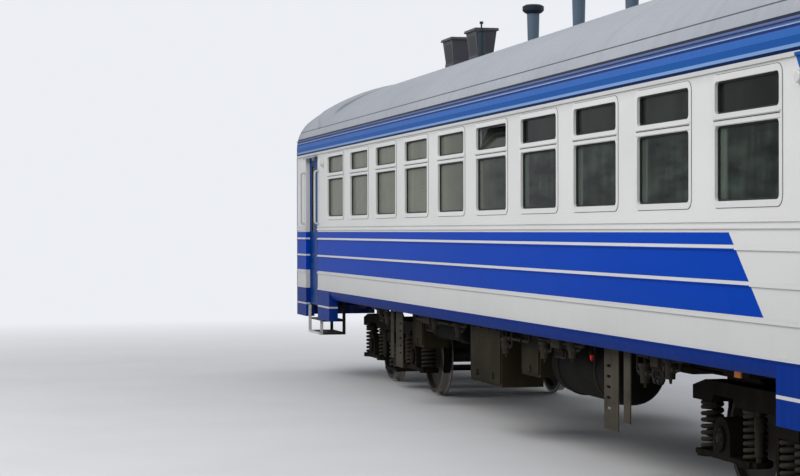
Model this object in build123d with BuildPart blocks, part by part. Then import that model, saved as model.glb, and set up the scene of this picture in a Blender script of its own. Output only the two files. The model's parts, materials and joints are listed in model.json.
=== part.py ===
from build123d import *
import math
import os

os.makedirs("parts", exist_ok=True)

# Frame: X runs along the coach, the near end is +X, +Y is the left side, Z is up.
# Z = 0 is the lowest point of the wheel flanges. Heights named below are counted from the
# top of the rail, which lies flange_height above that point.

# Clearances in millimetres
seat_gap = 0.3
run_gap = 5.0
shaft_gap = 0.06

# Body
flange_height = 28.0
body_length = 19600.0
coupler_reach = 250.0
body_width = 3480.0
wall_thickness = 125.0
body_corner_radius = 45.0
end_wall_thickness = 90.0
roof_thickness = 90.0
floor_thickness = 60.0
floor_height = 1360.0
skirt_top_height = 1240.0
skirt_bottom_height = 1115.0
skirt_tuck = 55.0
skirt_sheet = 30.0
apron_bottom_height = 820.0
apron_length = 2500.0
spring_height = 3300.0
crown_height = 4253.0
shoulder_radius = 550.0
platform_height = 3870.0
platform_length = 1500.0
platform_sheet = 50.0
hood_length = 380.0
hood_inset = 48.0
hood_base_height = 3530.0
hood_spring_height = 3640.0
hood_shoulder_radius = 190.0
hood_tail_inset = 120.0
hood_tail_base_height = 3400.0
hood_tail_spring_height = 3450.0
hood_tail_shoulder_radius = 500.0
hood_tail_drop = 20.0
bulkhead_thickness = 45.0
bulkhead_slot_count = 5
bulkhead_slot_pitch = 58.0
bulkhead_slot_width = 1500.0
bulkhead_slot_height = 26.0
bulkhead_slot_depth = 18.0
roof_strip_y = 505.0
roof_strip_width = 70.0
roof_strip_proud = 9.0
gutter_height = 3412.0
gutter_width = 22.0
gutter_depth = 16.0
gutter_proud = 7.0

# Pressed ribs and mouldings of the side: height above the rail, depth of the strip, how far it stands out
side_strips = [
    (1240.0, 22.0, 10.0),
    (1480.0, 24.0, 12.0),
    (1715.0, 24.0, 12.0),
    (1955.0, 24.0, 12.0),
    (2100.0, 26.0, 14.0),
    (2142.0, 20.0, 10.0),
    (3183.0, 30.0, 12.0),
]

# Windows
window_count = 10
glass_width = 1043.0
glass_bottom_height = 2275.0
glass_top_height = 3100.0
vent_height = 225.0
transom_height = 83.0
frame_margin = 45.0
frame_corner = 75.0
glass_corner = 35.0
frame_depth = 62.0
frame_proud = 6.0
glass_thickness = 6.0
glass_inset = 30.0
open_vent_index = 5
open_vent_angle = 24.0

# Side doors
door_centre_from_end = 1230.0
doorway_width = 900.0
doorway_top_height = 3150.0
leaf_bottom_height = 1000.0
leaf_thickness = 36.0
leaf_overlap = 22.0
leaf_travel = 430.0
leaf_skin = 60.0
pocket_depth = 18.0
leaf_panel_margin = 95.0
leaf_panel_height = 400.0
leaf_panel_pitch = 470.0
leaf_panel_from_bottom = 130.0
leaf_panel_depth = 8.0
leaf_window_width = 210.0
leaf_window_height = 980.0
leaf_window_centre_height = 2540.0
leaf_window_corner = 40.0

# Fittings of the doorways
visor_thickness = 6.0
visor_reach = 45.0
visor_lip = 22.0
lamp_box_length = 170.0
lamp_box_depth = 42.0
lamp_box_height = 52.0
side_lamp_from_doorway = 420.0
side_lamp_height = 3030.0
side_lamp_radius = 58.0
side_lamp_base = 14.0
side_lamp_lens_radius = 42.0
side_lamp_reach = 46.0
rail_from_doorway = 82.0
rail_low_height = 2180.0
rail_high_height = 2930.0
rail_radius = 14.0
rail_reach = 58.0
rail_bend = 34.0
rail_foot_radius = 25.0
rail_foot_depth = 7.0

# Gangway door, gangway diaphragm and coupler
gangway_width = 800.0
gangway_top_height = 3270.0
gangway_door_thickness = 38.0
gangway_window_width = 420.0
gangway_window_height = 620.0
hinge_radius = 11.0
hinge_offset = 14.0
hinge_knuckle_length = 90.0
diaphragm_wall = 130.0
diaphragm_length = 235.0
diaphragm_sill = 70.0
diaphragm_folds = 3
diaphragm_fold_depth = 35.0
coupler_height = 1060.0
coupler_body_height = 330.0
coupler_shank_width = 130.0
draft_pocket_depth = 560.0
coupler_shank_set_back = 180.0

# Plan of the coupler's head: reach beyond the coupling plane, distance towards the coach's own left
coupler_outline = [
    (-230.0, 70.0),
    (-120.0, 190.0),
    (-20.0, 200.0),
    (15.0, 130.0),
    (-95.0, 60.0),
    (-95.0, -60.0),
    (10.0, -80.0),
    (75.0, -120.0),
    (75.0, -200.0),
    (-30.0, -235.0),
    (-150.0, -180.0),
    (-230.0, -70.0),
]
coupler_tooth_height = 210.0
coupler_lock_width = 90.0
coupler_lock_height = 150.0
coupler_lock_reach = 36.0
end_wall_notch_width = 1100.0
end_wall_notch_height = 1255.0

# Inside
partition_from_end = 2200.0
partition_thickness = 40.0
partition_door_width = 1060.0
partition_door_top_height = 3330.0
bench_width = 1255.0
bench_depth = 430.0
bench_leg_inset = 50.0
bench_leg_stem = 45.0
bench_leg_foot = 90.0
bench_leg_head = 70.0
bench_leg_edge = 27.0
bench_leg_shares = (0.12, 0.88)
bench_seat_height = 440.0
bench_back_height = 1030.0
bench_board = 28.0
bench_back_gap = 36.0
bench_lean = 60.0
rack_height = 3200.0
rack_reach = 300.0
rack_tube = 22.0

# Roof gear
ventilator_count = 5
ventilator_pitch = 1700.0

# Half outline of a ventilator: radius, height above the roof's crown
ventilator_stations = [
    (112.0, 0.0),
    (112.0, 32.0),
    (66.0, 48.0),
    (76.0, 440.0),
    (104.0, 452.0),
    (130.0, 478.0),
    (130.0, 528.0),
    (96.0, 548.0),
]
louvre_unit_places = (2890.0, 4110.0)

# Louvred roof unit: height above the crown, length along the roof, width across it
louvre_unit_stations = [
    (-60.0, 470.0, 262.0),
    (170.0, 420.0, 220.0),
    (450.0, 500.0, 280.0),
]
louvre_unit_lid = 34.0
louvre_unit_lid_overhang = 26.0
louvre_unit_lid_slope = 14.0
louvre_count = 11
louvre_pitch = 32.0
louvre_width = 13.0
louvre_height = 260.0
louvre_middle = 265.0
louvre_depth = 22.0
flue_from_unit = 395.0
flue_offset = -110.0

# Half outline of the flue beside a louvred unit: radius, height above the crown
flue_stations = [
    (62.0, 0.0),
    (62.0, 26.0),
    (40.0, 34.0),
    (40.0, 410.0),
    (54.0, 418.0),
    (54.0, 456.0),
    (11.0, 462.0),
    (11.0, 512.0),
    (24.0, 518.0),
    (24.0, 548.0),
]

# Underframe
centre_sill_width = 360.0
centre_sill_bottom_height = 1040.0
cross_bearer_width = 110.0
cross_bearer_bottom_height = 1130.0
cross_bearer_count = 7
cross_bearer_from_pivot = 1500.0
body_bolster_inset = 100.0
shank_side_room = 60.0
shank_height_room = 20.0
bolster_width = 460.0
bolster_bottom_height = 1045.0
headstock_depth = 240.0
headstock_bottom_height = 960.0
side_sill_depth = 70.0
side_sill_bottom_height = 1180.0

# Entry steps
step_bottom_height = 590.0
step_inner_from_centre = 1335.0
step_tread = 28.0
step_plate = 12.0
step_treads = 3
step_setback = 60.0
step_post = 44.0

# Gear under the floor between the bogies
bay_margin = 500.0
guard_length = 340.0
guard_thickness = 10.0
guard_bottom_height = 430.0
guard_slot_count = 5
guard_slot_pitch = 88.0
guard_slot_length = 96.0
guard_slot_height = 24.0
guard_post_length = 150.0
guard_post_gap = 130.0
guard_post_bottom_height = 520.0
brake_cylinder_radius = 155.0
brake_cylinder_length = 620.0
brake_rod_radius = 17.0
brake_rod_height = 760.0
rod_hanger_width = 46.0
train_pipe_radius = 19.0
train_pipe_ys = (-760.0, -690.0, 640.0)

# Bogies
pivot_from_end = 3650.0
bogie_wheelbase = 2400.0
wheel_radius = 475.0
wheel_back_spacing = 1440.0
tyre_width = 130.0
flange_thickness = 33.0
flange_fillet = 14.0
wheel_web = 26.0
hub_radius = 135.0
hub_length = 185.0
axle_radius = 82.0
journal_radius = 65.0
journal_centre = 1018.0
journal_length = 170.0
axle_box_radius = 165.0
axle_box_width = 200.0
axle_box_cover = 12.0
spring_offset = 410.0
spring_radius = 105.0
spring_seat_height = 350.0
spring_seat_thickness = 40.0
side_frame_bottom_height = 735.0
side_frame_top_height = 905.0
side_frame_width = 170.0
side_frame_overhang = 610.0
side_frame_nose = 110.0
side_frame_slope = 260.0
side_frame_arch = 60.0
arch_half_foot = 240.0
arch_half_top = 180.0
transom_width = 170.0
transom_centre = 430.0
bogie_bolster_width = 400.0
bogie_bolster_height = 590.0
bogie_bolster_top_height = 1020.0
bolster_end_room = 12.0
bolster_side_room = 30.0
bolster_slope = 160.0
bolster_slope_drop = 40.0
bolster_flat = 230.0
bolster_spring_radius = 115.0
bolster_spring_offset = 125.0
spring_plank_height = 250.0
spring_plank_thickness = 34.0
centre_plate_radius = 170.0
king_pin_radius = 40.0
king_pin_length = 160.0
brake_block_width = 80.0
brake_block_thickness = 55.0
brake_block_angle = 40.0
hanger_width = 40.0
link_thickness = 36.0
link_width = 90.0
link_from_spring = 60.0
plank_overhang = 80.0
cover_boss_radius = 98.0
cover_boss_depth = 24.0
spring_cup_radius = 122.0
spring_cup_depth = 52.0
coil_gap = 10.0
damper_from_spring = 42.0
damper_y_shift = 34.0

# Half outline of a damper: radius, share of the height between the axle box's wing and the side frame
damper_stations = [
    (24.0, 0.0),
    (24.0, 0.09),
    (33.0, 0.12),
    (33.0, 0.58),
    (39.0, 0.6),
    (39.0, 0.86),
    (22.0, 0.89),
    (22.0, 1.0),
]

# Figures that follow from the sizes above
half_body = body_length / 2
half_coupled = half_body + coupler_reach
half_width = body_width / 2
half_inside = half_width - wall_thickness
wall_half_length = half_body - end_wall_thickness
floor_top = flange_height + floor_height
floor_under = floor_top - floor_thickness
spring_z = flange_height + spring_height
crown_z = flange_height + crown_height
platform_z = flange_height + platform_height
bulkhead_x = half_body - platform_length
apron_start = half_body - apron_length
apron_bottom_z = flange_height + apron_bottom_height
door_centre = half_body - door_centre_from_end
pivot_x = half_body - pivot_from_end
bay_half = pivot_x - bogie_wheelbase / 2 - side_frame_overhang - bay_margin
window_pitch = (body_length - 2 * partition_from_end) / window_count
axle_z = flange_height + wheel_radius
glass_height = glass_top_height - glass_bottom_height
glass_middle_z = flange_height + (glass_bottom_height + glass_top_height) / 2
lower_pane_height = glass_height - vent_height - transom_height
window_xs = [(i - (window_count - 1) / 2) * window_pitch for i in range(window_count)]
frame_outer_width = glass_width + 2 * frame_margin
frame_outer_height = glass_height + 2 * frame_margin

sides = {"right": -1, "left": 1}
ends = {"far": -1, "near": 1}


def crown_radius(half, z_spring, radius, z_crown):
    """Radius of the crown arc that meets both shoulder arcs smoothly."""
    centre = half - radius
    rise = z_crown - z_spring
    return (centre**2 + rise**2 - radius**2) / (2 * (rise - radius))


def roof_section(half, z_base, z_spring, radius, z_crown):
    """Closed section of the roof: upright sides, shoulder arcs and a crown arc."""
    centre = half - radius
    crown = crown_radius(half, z_spring, radius, z_crown)
    crown_centre = z_crown - crown
    tilt = math.degrees(math.atan2(z_spring - crown_centre, centre))
    with BuildSketch() as section:
        with BuildLine():
            Line((half, z_base), (half, z_spring))
            CenterArc((centre, z_spring), radius, 0, tilt)
            CenterArc((0, crown_centre), crown, tilt, 180 - 2 * tilt)
            CenterArc((-centre, z_spring), radius, 180 - tilt, tilt)
            Line((-half, z_spring), (-half, z_base))
            Line((-half, z_base), (half, z_base))
        make_face()
    return section.sketch


def body_section(inset, z_base):
    """The body's own section, moved inwards by inset."""
    return roof_section(half_width - inset, z_base, spring_z, shoulder_radius - inset, crown_z - inset)


def keep(piece, name):
    """Label a finished piece and write its file."""
    piece.label = name
    export_step(piece, f"parts/{name}.step")


# Side walls: one section drawn across the coach, run along it, with windows and doorways cut
def side_wall(side):
    y_out = side * half_width
    y_in = side * half_inside
    skirt_top = flange_height + skirt_top_height
    skirt_bottom = flange_height + skirt_bottom_height
    tuck_middle = side * (half_width - skirt_tuck * 0.3)
    sheet_middle = side * (half_width - skirt_sheet - skirt_tuck * 0.3)
    skirt_middle = (skirt_top + skirt_bottom) / 2
    with BuildPart() as wall:
        with BuildSketch(Plane.YZ.offset(-wall_half_length)):
            with BuildLine():
                Line((y_out, spring_z), (y_out, skirt_top))
                ThreePointArc(
                    (y_out, skirt_top),
                    (tuck_middle, skirt_middle),
                    (side * (half_width - skirt_tuck), skirt_bottom),
                )
                Line(
                    (side * (half_width - skirt_tuck), skirt_bottom),
                    (side * (half_width - skirt_tuck - skirt_sheet), skirt_bottom),
                )
                ThreePointArc(
                    (side * (half_width - skirt_tuck - skirt_sheet), skirt_bottom),
                    (sheet_middle, skirt_middle),
                    (side * (half_width - skirt_sheet), skirt_top),
                )
                Line((side * (half_width - skirt_sheet), skirt_top), (side * (half_width - skirt_sheet), floor_under))
                Line((side * (half_width - skirt_sheet), floor_under), (y_in, floor_under))
                Line((y_in, floor_under), (y_in, spring_z))
                Line((y_in, spring_z), (y_out, spring_z))
            make_face()
            for height, depth, proud in side_strips:
                with Locations((y_out, flange_height + height)):
                    Rectangle(2 * proud, depth)
        extrude(amount=2 * wall_half_length)
        # the aprons beside the doorways reach below the floor
        apron_height = floor_under - apron_bottom_z
        with Locations(
            *[
                (end * (apron_start + wall_half_length) / 2, side * (half_width - wall_thickness / 2), apron_bottom_z)
                for end in ends.values()
            ]
        ):
            Box(
                wall_half_length - apron_start,
                wall_thickness,
                apron_height,
                align=(Align.CENTER, Align.CENTER, Align.MIN),
            )
        with BuildSketch(Plane.XZ.offset(-side * (half_width + wall_thickness))):
            with Locations(*[(x, glass_middle_z) for x in window_xs]):
                RectangleRounded(
                    frame_outer_width + 2 * seat_gap, frame_outer_height + 2 * seat_gap, frame_corner
                )
        extrude(amount=side * 3 * wall_thickness, mode=Mode.SUBTRACT)
        doorway_top = flange_height + doorway_top_height
        with BuildSketch(Plane.XZ.offset(-side * (half_width + wall_thickness))):
            with Locations(*[(end * door_centre, doorway_top) for end in ends.values()]):
                Rectangle(doorway_width, doorway_top, align=(Align.CENTER, Align.MAX))
        extrude(amount=side * 3 * wall_thickness, mode=Mode.SUBTRACT)
        # the slot that the two leaves slide into
        slot_width = leaf_thickness + 2 * run_gap
        slot_top = doorway_top + pocket_depth
        slot_bottom = flange_height + leaf_bottom_height - run_gap
        slot_length = doorway_width + 2 * (leaf_travel + leaf_overlap + run_gap)
        with Locations(
            *[
                (end * door_centre, side * (half_width - leaf_skin - slot_width / 2), slot_bottom)
                for end in ends.values()
            ]
        ):
            Box(
                slot_length,
                slot_width,
                slot_top - slot_bottom,
                align=(Align.CENTER, Align.CENTER, Align.MIN),
                mode=Mode.SUBTRACT,
            )
    return wall.part


for side_name, side in sides.items():
    keep(side_wall(side), f"side_wall_{side_name}")


# End walls with the gangway opening and lugs for the gangway door's hinge
def end_wall(end):
    x_in = end * wall_half_length
    with BuildPart() as wall:
        with BuildSketch(Plane.YZ.offset(x_in)):
            add(body_section(0, apron_bottom_z))
            with Locations((0, apron_bottom_z)):
                Rectangle(
                    body_width, platform_z - apron_bottom_z, align=(Align.CENTER, Align.MIN), mode=Mode.INTERSECT
                )
            with Locations((0, floor_top)):
                Rectangle(
                    gangway_width,
                    flange_height + gangway_top_height - floor_top,
                    align=(Align.CENTER, Align.MIN),
                    mode=Mode.SUBTRACT,
                )
            with Locations((0, apron_bottom_z)):
                Rectangle(
                    end_wall_notch_width,
                    flange_height + end_wall_notch_height - apron_bottom_z,
                    align=(Align.CENTER, Align.MIN),
                    mode=Mode.SUBTRACT,
                )
        extrude(amount=end * end_wall_thickness)
        corner_edges = wall.edges().filter_by(Axis.Z).group_by(Axis.X)[-1 if end > 0 else 0]
        outer_edges = [e for e in corner_edges if abs(e.center().Y) > half_width - 1]
        fillet(outer_edges, radius=body_corner_radius)
        for z in hinge_levels():
            lug_height = hinge_knuckle_length
            with Locations((end * (wall_half_length - hinge_offset), hinge_y, z - hinge_knuckle_length - seat_gap)):
                Cylinder(hinge_radius, lug_height, align=(Align.CENTER, Align.CENTER, Align.MIN))
            with Locations((end * (wall_half_length - hinge_offset / 2), hinge_y - hinge_radius, z - seat_gap)):
                Box(
                    hinge_offset,
                    2 * hinge_radius,
                    hinge_knuckle_length,
                    align=(Align.CENTER, Align.CENTER, Align.MAX),
                )
    return wall.part


hinge_y = -gangway_width / 2 + run_gap


def hinge_levels():
    """Heights at which the gangway door's knuckles stand on the wall's lugs."""
    low = floor_top + 0.2 * (gangway_top_height - floor_height)
    high = floor_top + 0.75 * (gangway_top_height - floor_height)
    return [low, high]


for end_name, end in ends.items():
    keep(end_wall(end), f"end_wall_{end_name}")


# Gangway doors: each swings into its vestibule about knuckles that stand on the wall's lugs
def gangway_door(end):
    door_width = gangway_width - 2 * run_gap
    door_bottom = floor_top + run_gap
    door_height = flange_height + gangway_top_height - run_gap - door_bottom
    x_in = end * wall_half_length
    with BuildPart() as door:
        with BuildSketch(Plane.YZ.offset(x_in)):
            with Locations((0, door_bottom)):
                Rectangle(door_width, door_height, align=(Align.CENTER, Align.MIN))
            with Locations((0, door_bottom + 0.68 * door_height)):
                RectangleRounded(gangway_window_width, gangway_window_height, glass_corner, mode=Mode.SUBTRACT)
        extrude(amount=end * gangway_door_thickness)
        for z in hinge_levels():
            with Locations((end * (wall_half_length - hinge_offset), hinge_y, z)):
                Cylinder(hinge_radius, hinge_knuckle_length, align=(Align.CENTER, Align.CENTER, Align.MIN))
            with Locations((end * (wall_half_length - hinge_offset / 2), hinge_y + hinge_radius, z)):
                Box(
                    hinge_offset,
                    2 * hinge_radius,
                    hinge_knuckle_length,
                    align=(Align.CENTER, Align.CENTER, Align.MIN),
                )
    return door.part


for end_name, end in ends.items():
    keep(gangway_door(end), f"gangway_door_{end_name}")


# Roof: the arched shell, a lowered platform over each vestibule and a square-shouldered hood between them
with BuildPart() as roof:
    with BuildSketch(Plane.YZ.offset(-bulkhead_x)):
        add(body_section(0, spring_z - 1))
        with Locations((0, spring_z)):
            Rectangle(body_width, crown_z, align=(Align.CENTER, Align.MIN), mode=Mode.INTERSECT)
    extrude(amount=2 * bulkhead_x)
    for end in ends.values():
        with BuildSketch(Plane.YZ.offset(end * bulkhead_x)):
            add(body_section(0, spring_z - 1))
            with Locations((0, spring_z)):
                Rectangle(body_width, platform_z - spring_z, align=(Align.CENTER, Align.MIN), mode=Mode.INTERSECT)
        extrude(amount=end * (wall_half_length - bulkhead_x))
        # the hood runs from a square-shouldered section at the bulkhead back into the arch
        with BuildSketch(Plane.YZ.offset(end * bulkhead_x)) as hood_front:
            add(
                roof_section(
                    half_width - hood_inset,
                    flange_height + hood_base_height,
                    flange_height + hood_spring_height,
                    hood_shoulder_radius,
                    crown_z,
                )
            )
        with BuildSketch(Plane.YZ.offset(end * (bulkhead_x - hood_length))) as hood_back:
            add(
                roof_section(
                    half_width - hood_tail_inset,
                    flange_height + hood_tail_base_height,
                    flange_height + hood_tail_spring_height,
                    hood_tail_shoulder_radius,
                    crown_z - hood_tail_drop,
                )
            )
        loft()
    gutter_y = half_width + gutter_proud - gutter_width / 2
    with Locations(*[(0, side * gutter_y, flange_height + gutter_height) for side in sides.values()]):
        Box(2 * wall_half_length, gutter_width, gutter_depth)
    # two low strips run along the roof beside the crown
    crown = crown_radius(half_width, spring_z, shoulder_radius, crown_z)
    strip_tilt = math.degrees(math.asin(roof_strip_y / crown))
    strip_z = crown_z - crown + math.sqrt(crown**2 - roof_strip_y**2)
    strip_length = 2 * (bulkhead_x - hood_length)
    with BuildSketch(Plane.YZ.offset(-strip_length / 2)):
        for side in sides.values():
            with Locations((side * roof_strip_y, strip_z)):
                Rectangle(roof_strip_width, 2 * roof_strip_proud, rotation=-side * strip_tilt)
    extrude(amount=strip_length)
    # louvre slots across each bulkhead
    for end in ends.values():
        with BuildSketch(Plane.YZ.offset(end * bulkhead_x)):
            for slot in range(bulkhead_slot_count):
                with Locations((0, platform_z + (slot + 0.7) * bulkhead_slot_pitch)):
                    Rectangle(bulkhead_slot_width, bulkhead_slot_height)
        extrude(amount=-end * bulkhead_slot_depth, mode=Mode.SUBTRACT)
    inner_end = bulkhead_x - bulkhead_thickness
    with BuildSketch(Plane.YZ.offset(-inner_end)):
        add(body_section(roof_thickness, spring_z - 10))
    extrude(amount=2 * inner_end, mode=Mode.SUBTRACT)
    for end in ends.values():
        with BuildSketch(Plane.YZ.offset(end * inner_end)):
            add(body_section(roof_thickness, spring_z - 10))
            with Locations((0, spring_z - 20)):
                Rectangle(
                    body_width,
                    platform_z - platform_sheet - spring_z + 20,
                    align=(Align.CENTER, Align.MIN),
                    mode=Mode.INTERSECT,
                )
        extrude(amount=end * (wall_half_length - inner_end), mode=Mode.SUBTRACT)
keep(roof.part, "roof_shell")


# Underframe: floor, side sills, centre sill, cross bearers, bolsters and headstocks
with BuildPart() as underframe:
    with Locations((0, 0, floor_under)):
        Box(
            2 * wall_half_length,
            2 * half_inside,
            floor_thickness,
            align=(Align.CENTER, Align.CENTER, Align.MIN),
        )
    sill_bottom = flange_height + centre_sill_bottom_height
    with Locations((0, 0, sill_bottom)):
        Box(
            2 * wall_half_length,
            centre_sill_width,
            floor_under - sill_bottom,
            align=(Align.CENTER, Align.CENTER, Align.MIN),
        )
    side_sill_bottom = flange_height + side_sill_bottom_height
    with Locations(
        *[(0, side * (half_inside - side_sill_depth / 2), side_sill_bottom) for side in sides.values()]
    ):
        Box(
            2 * apron_start,
            side_sill_depth,
            floor_under - side_sill_bottom,
            align=(Align.CENTER, Align.CENTER, Align.MIN),
        )
    bearer_bottom = flange_height + cross_bearer_bottom_height
    bearer_span = 2 * (pivot_x - cross_bearer_from_pivot)
    bearer_xs = [(i / (cross_bearer_count - 1) - 0.5) * bearer_span for i in range(cross_bearer_count)]
    with Locations(*[(x, 0, bearer_bottom) for x in bearer_xs]):
        Box(
            cross_bearer_width,
            2 * half_inside,
            floor_under - bearer_bottom,
            align=(Align.CENTER, Align.CENTER, Align.MIN),
        )
    bolster_bottom = flange_height + bolster_bottom_height
    with Locations(*[(end * pivot_x, 0, bolster_bottom) for end in ends.values()]):
        Box(
            bolster_width,
            2 * (half_inside - body_bolster_inset),
            floor_under - bolster_bottom,
            align=(Align.CENTER, Align.CENTER, Align.MIN),
        )
    headstock_bottom = flange_height + headstock_bottom_height
    headstock_x = wall_half_length - headstock_depth / 2
    headstock_half = step_inner_from_centre - 40
    with Locations(*[(end * headstock_x, 0, headstock_bottom) for end in ends.values()]):
        Box(
            headstock_depth,
            2 * headstock_half,
            floor_under - headstock_bottom,
            align=(Align.CENTER, Align.CENTER, Align.MIN),
        )
    # the coupler's shank passes through the headstock and ends in the centre sill
    shank_top = flange_height + coupler_height + coupler_shank_width / 2 + shank_height_room
    shank_bottom = flange_height + coupler_height - coupler_shank_width / 2 - shank_height_room
    with Locations(
        *[(end * wall_half_length, 0, (shank_top + shank_bottom) / 2) for end in ends.values()]
    ):
        Box(
            2 * draft_pocket_depth,
            coupler_shank_width + 2 * shank_side_room,
            shank_top - shank_bottom,
            mode=Mode.SUBTRACT,
        )
    # centre plates and king pins over the bogies
    plate_bottom = flange_height + bogie_bolster_top_height + seat_gap
    with Locations(*[(end * pivot_x, 0, plate_bottom) for end in ends.values()]):
        Cylinder(
            centre_plate_radius,
            bolster_bottom - plate_bottom,
            align=(Align.CENTER, Align.CENTER, Align.MIN),
        )
    with Locations(*[(end * pivot_x, 0, plate_bottom) for end in ends.values()]):
        Cylinder(king_pin_radius, king_pin_length, align=(Align.CENTER, Align.CENTER, Align.MAX))
keep(underframe.part, "underframe")


# Entry steps: two open cheek frames and three treads under each doorway
with BuildPart() as steps:
    cheek_top = floor_under
    leaf_bottom = flange_height + leaf_bottom_height
    step_bottom = flange_height + step_bottom_height
    step_outer = half_width - 35
    cheek_inner = half_inside - seat_gap
    rise = (leaf_bottom - 2 * run_gap - step_tread - step_bottom) / (step_treads - 1)
    for end in ends.values():
        for side in sides.values():
            for edge in (-1, 1):
                x_cheek = end * door_centre + edge * (doorway_width / 2 - seat_gap - step_plate / 2)
                with BuildSketch(Plane.YZ.offset(x_cheek - step_plate / 2)):
                    with BuildLine():
                        Polyline(
                            (side * step_inner_from_centre, step_bottom),
                            (side * step_outer, step_bottom),
                            (side * step_outer, leaf_bottom - 2 * run_gap),
                            (side * cheek_inner, leaf_bottom - 2 * run_gap),
                            (side * cheek_inner, cheek_top),
                            (side * step_inner_from_centre, cheek_top),
                            close=True,
                        )
                    make_face()
                    # the frame is open between the posts, from tread to tread and up to the floor
                    window_middle = side * (step_inner_from_centre + step_outer) / 2
                    window_width = step_outer - step_inner_from_centre - 2 * step_post
                    for tread in range(step_treads - 1):
                        with Locations((window_middle, step_bottom + tread * rise + step_tread)):
                            Rectangle(
                                window_width,
                                rise - step_tread,
                                align=(Align.CENTER, Align.MIN),
                                mode=Mode.SUBTRACT,
                            )
                    top_width = cheek_inner - step_inner_from_centre - 2 * step_post
                    with Locations((side * (cheek_inner + step_inner_from_centre) / 2, leaf_bottom)):
                        Rectangle(
                            top_width,
                            cheek_top - leaf_bottom - step_post,
                            align=(Align.CENTER, Align.MIN),
                            mode=Mode.SUBTRACT,
                        )
                extrude(amount=step_plate)
            for tread in range(step_treads):
                tread_inner = step_inner_from_centre
                tread_outer = step_outer - step_setback * tread
                with Locations(
                    (
                        end * door_centre,
                        side * (tread_inner + tread_outer) / 2,
                        step_bottom + tread * rise,
                    )
                ):
                    Box(
                        doorway_width - 2 * seat_gap,
                        tread_outer - tread_inner,
                        step_tread,
                        align=(Align.CENTER, Align.CENTER, Align.MIN),
                    )
keep(steps.part, "entry_steps")


# Door leaves: two for each doorway, each half slides into the wall beside it
def door_leaf(end, side, hand):
    """hand is -1 for the leaf that opens towards -X and 1 for the one that opens towards +X."""
    leaf_bottom = flange_height + leaf_bottom_height
    leaf_top = flange_height + doorway_top_height + pocket_depth - seat_gap
    leaf_width = doorway_width / 2 + leaf_overlap - seat_gap
    x_middle = end * door_centre + hand * (seat_gap + leaf_width / 2)
    y_outer = half_width - leaf_skin - run_gap
    with BuildPart() as leaf:
        with BuildSketch(Plane.XZ.offset(-side * y_outer)):
            with Locations((x_middle, leaf_bottom)):
                Rectangle(leaf_width, leaf_top - leaf_bottom, align=(Align.CENTER, Align.MIN))
            with Locations((x_middle, flange_height + leaf_window_centre_height)):
                RectangleRounded(leaf_window_width, leaf_window_height, leaf_window_corner, mode=Mode.SUBTRACT)
        extrude(amount=side * leaf_thickness)
        # the two pressed stiffening panels of the leaf's lower half
        panel_low = leaf_bottom + leaf_panel_from_bottom
        with BuildSketch(Plane.XZ.offset(-side * y_outer)):
            for level in (panel_low, panel_low + leaf_panel_pitch):
                with Locations((x_middle, level)):
                    Rectangle(
                        leaf_width - 2 * leaf_panel_margin,
                        leaf_panel_height,
                        align=(Align.CENTER, Align.MIN),
                    )
        extrude(amount=side * leaf_panel_depth, mode=Mode.SUBTRACT)
    return leaf.part


for end_name, end in ends.items():
    for side_name, side in sides.items():
        keep(door_leaf(end, side, -1), f"door_{end_name}_{side_name}_a")
        keep(door_leaf(end, side, 1), f"door_{end_name}_{side_name}_b")


# Door visors: a plate with a turned-down lip under each doorway's head, with a lamp box below it
with BuildPart() as visors:
    head_z = flange_height + doorway_top_height - seat_gap
    visor_inner = half_width - leaf_skin + 2
    visor_outer = half_width + visor_reach
    lamp_y = half_width - leaf_skin + 2 + lamp_box_depth / 2
    for end in ends.values():
        visor_length = doorway_width - 2 * seat_gap
        with BuildSketch(Plane.YZ.offset(end * door_centre - visor_length / 2)):
            for side in sides.values():
                with BuildLine():
                    Polyline(
                        (side * visor_inner, head_z),
                        (side * visor_outer, head_z),
                        (side * visor_outer, head_z - visor_lip),
                        (side * (visor_outer - visor_thickness), head_z - visor_lip),
                        (side * (visor_outer - visor_thickness), head_z - visor_thickness),
                        (side * visor_inner, head_z - visor_thickness),
                        close=True,
                    )
                make_face()
        extrude(amount=visor_length)
        with Locations(*[(end * door_centre, side * lamp_y, head_z) for side in sides.values()]):
            Box(
                lamp_box_length,
                lamp_box_depth,
                lamp_box_height,
                align=(Align.CENTER, Align.CENTER, Align.MAX),
            )
keep(visors.part, "door_visors")


# Side lamps: a round base with a domed lens beside each doorway
with BuildPart() as side_lamps:
    lamp_x = door_centre - doorway_width / 2 - side_lamp_from_doorway
    for side in sides.values():
        y_base = half_width + seat_gap
        with BuildSketch(Plane.XZ.offset(-side * y_base)):
            with Locations(*[(end * lamp_x, flange_height + side_lamp_height) for end in ends.values()]):
                Circle(side_lamp_radius)
        extrude(amount=-side * side_lamp_base)
        with BuildSketch(Plane.XZ.offset(-side * y_base)):
            with Locations(*[(end * lamp_x, flange_height + side_lamp_height) for end in ends.values()]):
                Circle(side_lamp_lens_radius)
        extrude(amount=-side * side_lamp_reach)
    fillet(side_lamps.edges().filter_by(GeomType.CIRCLE).filter_by(lambda e: e.radius < 50), radius=12)
keep(side_lamps.part, "side_lamps")


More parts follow.
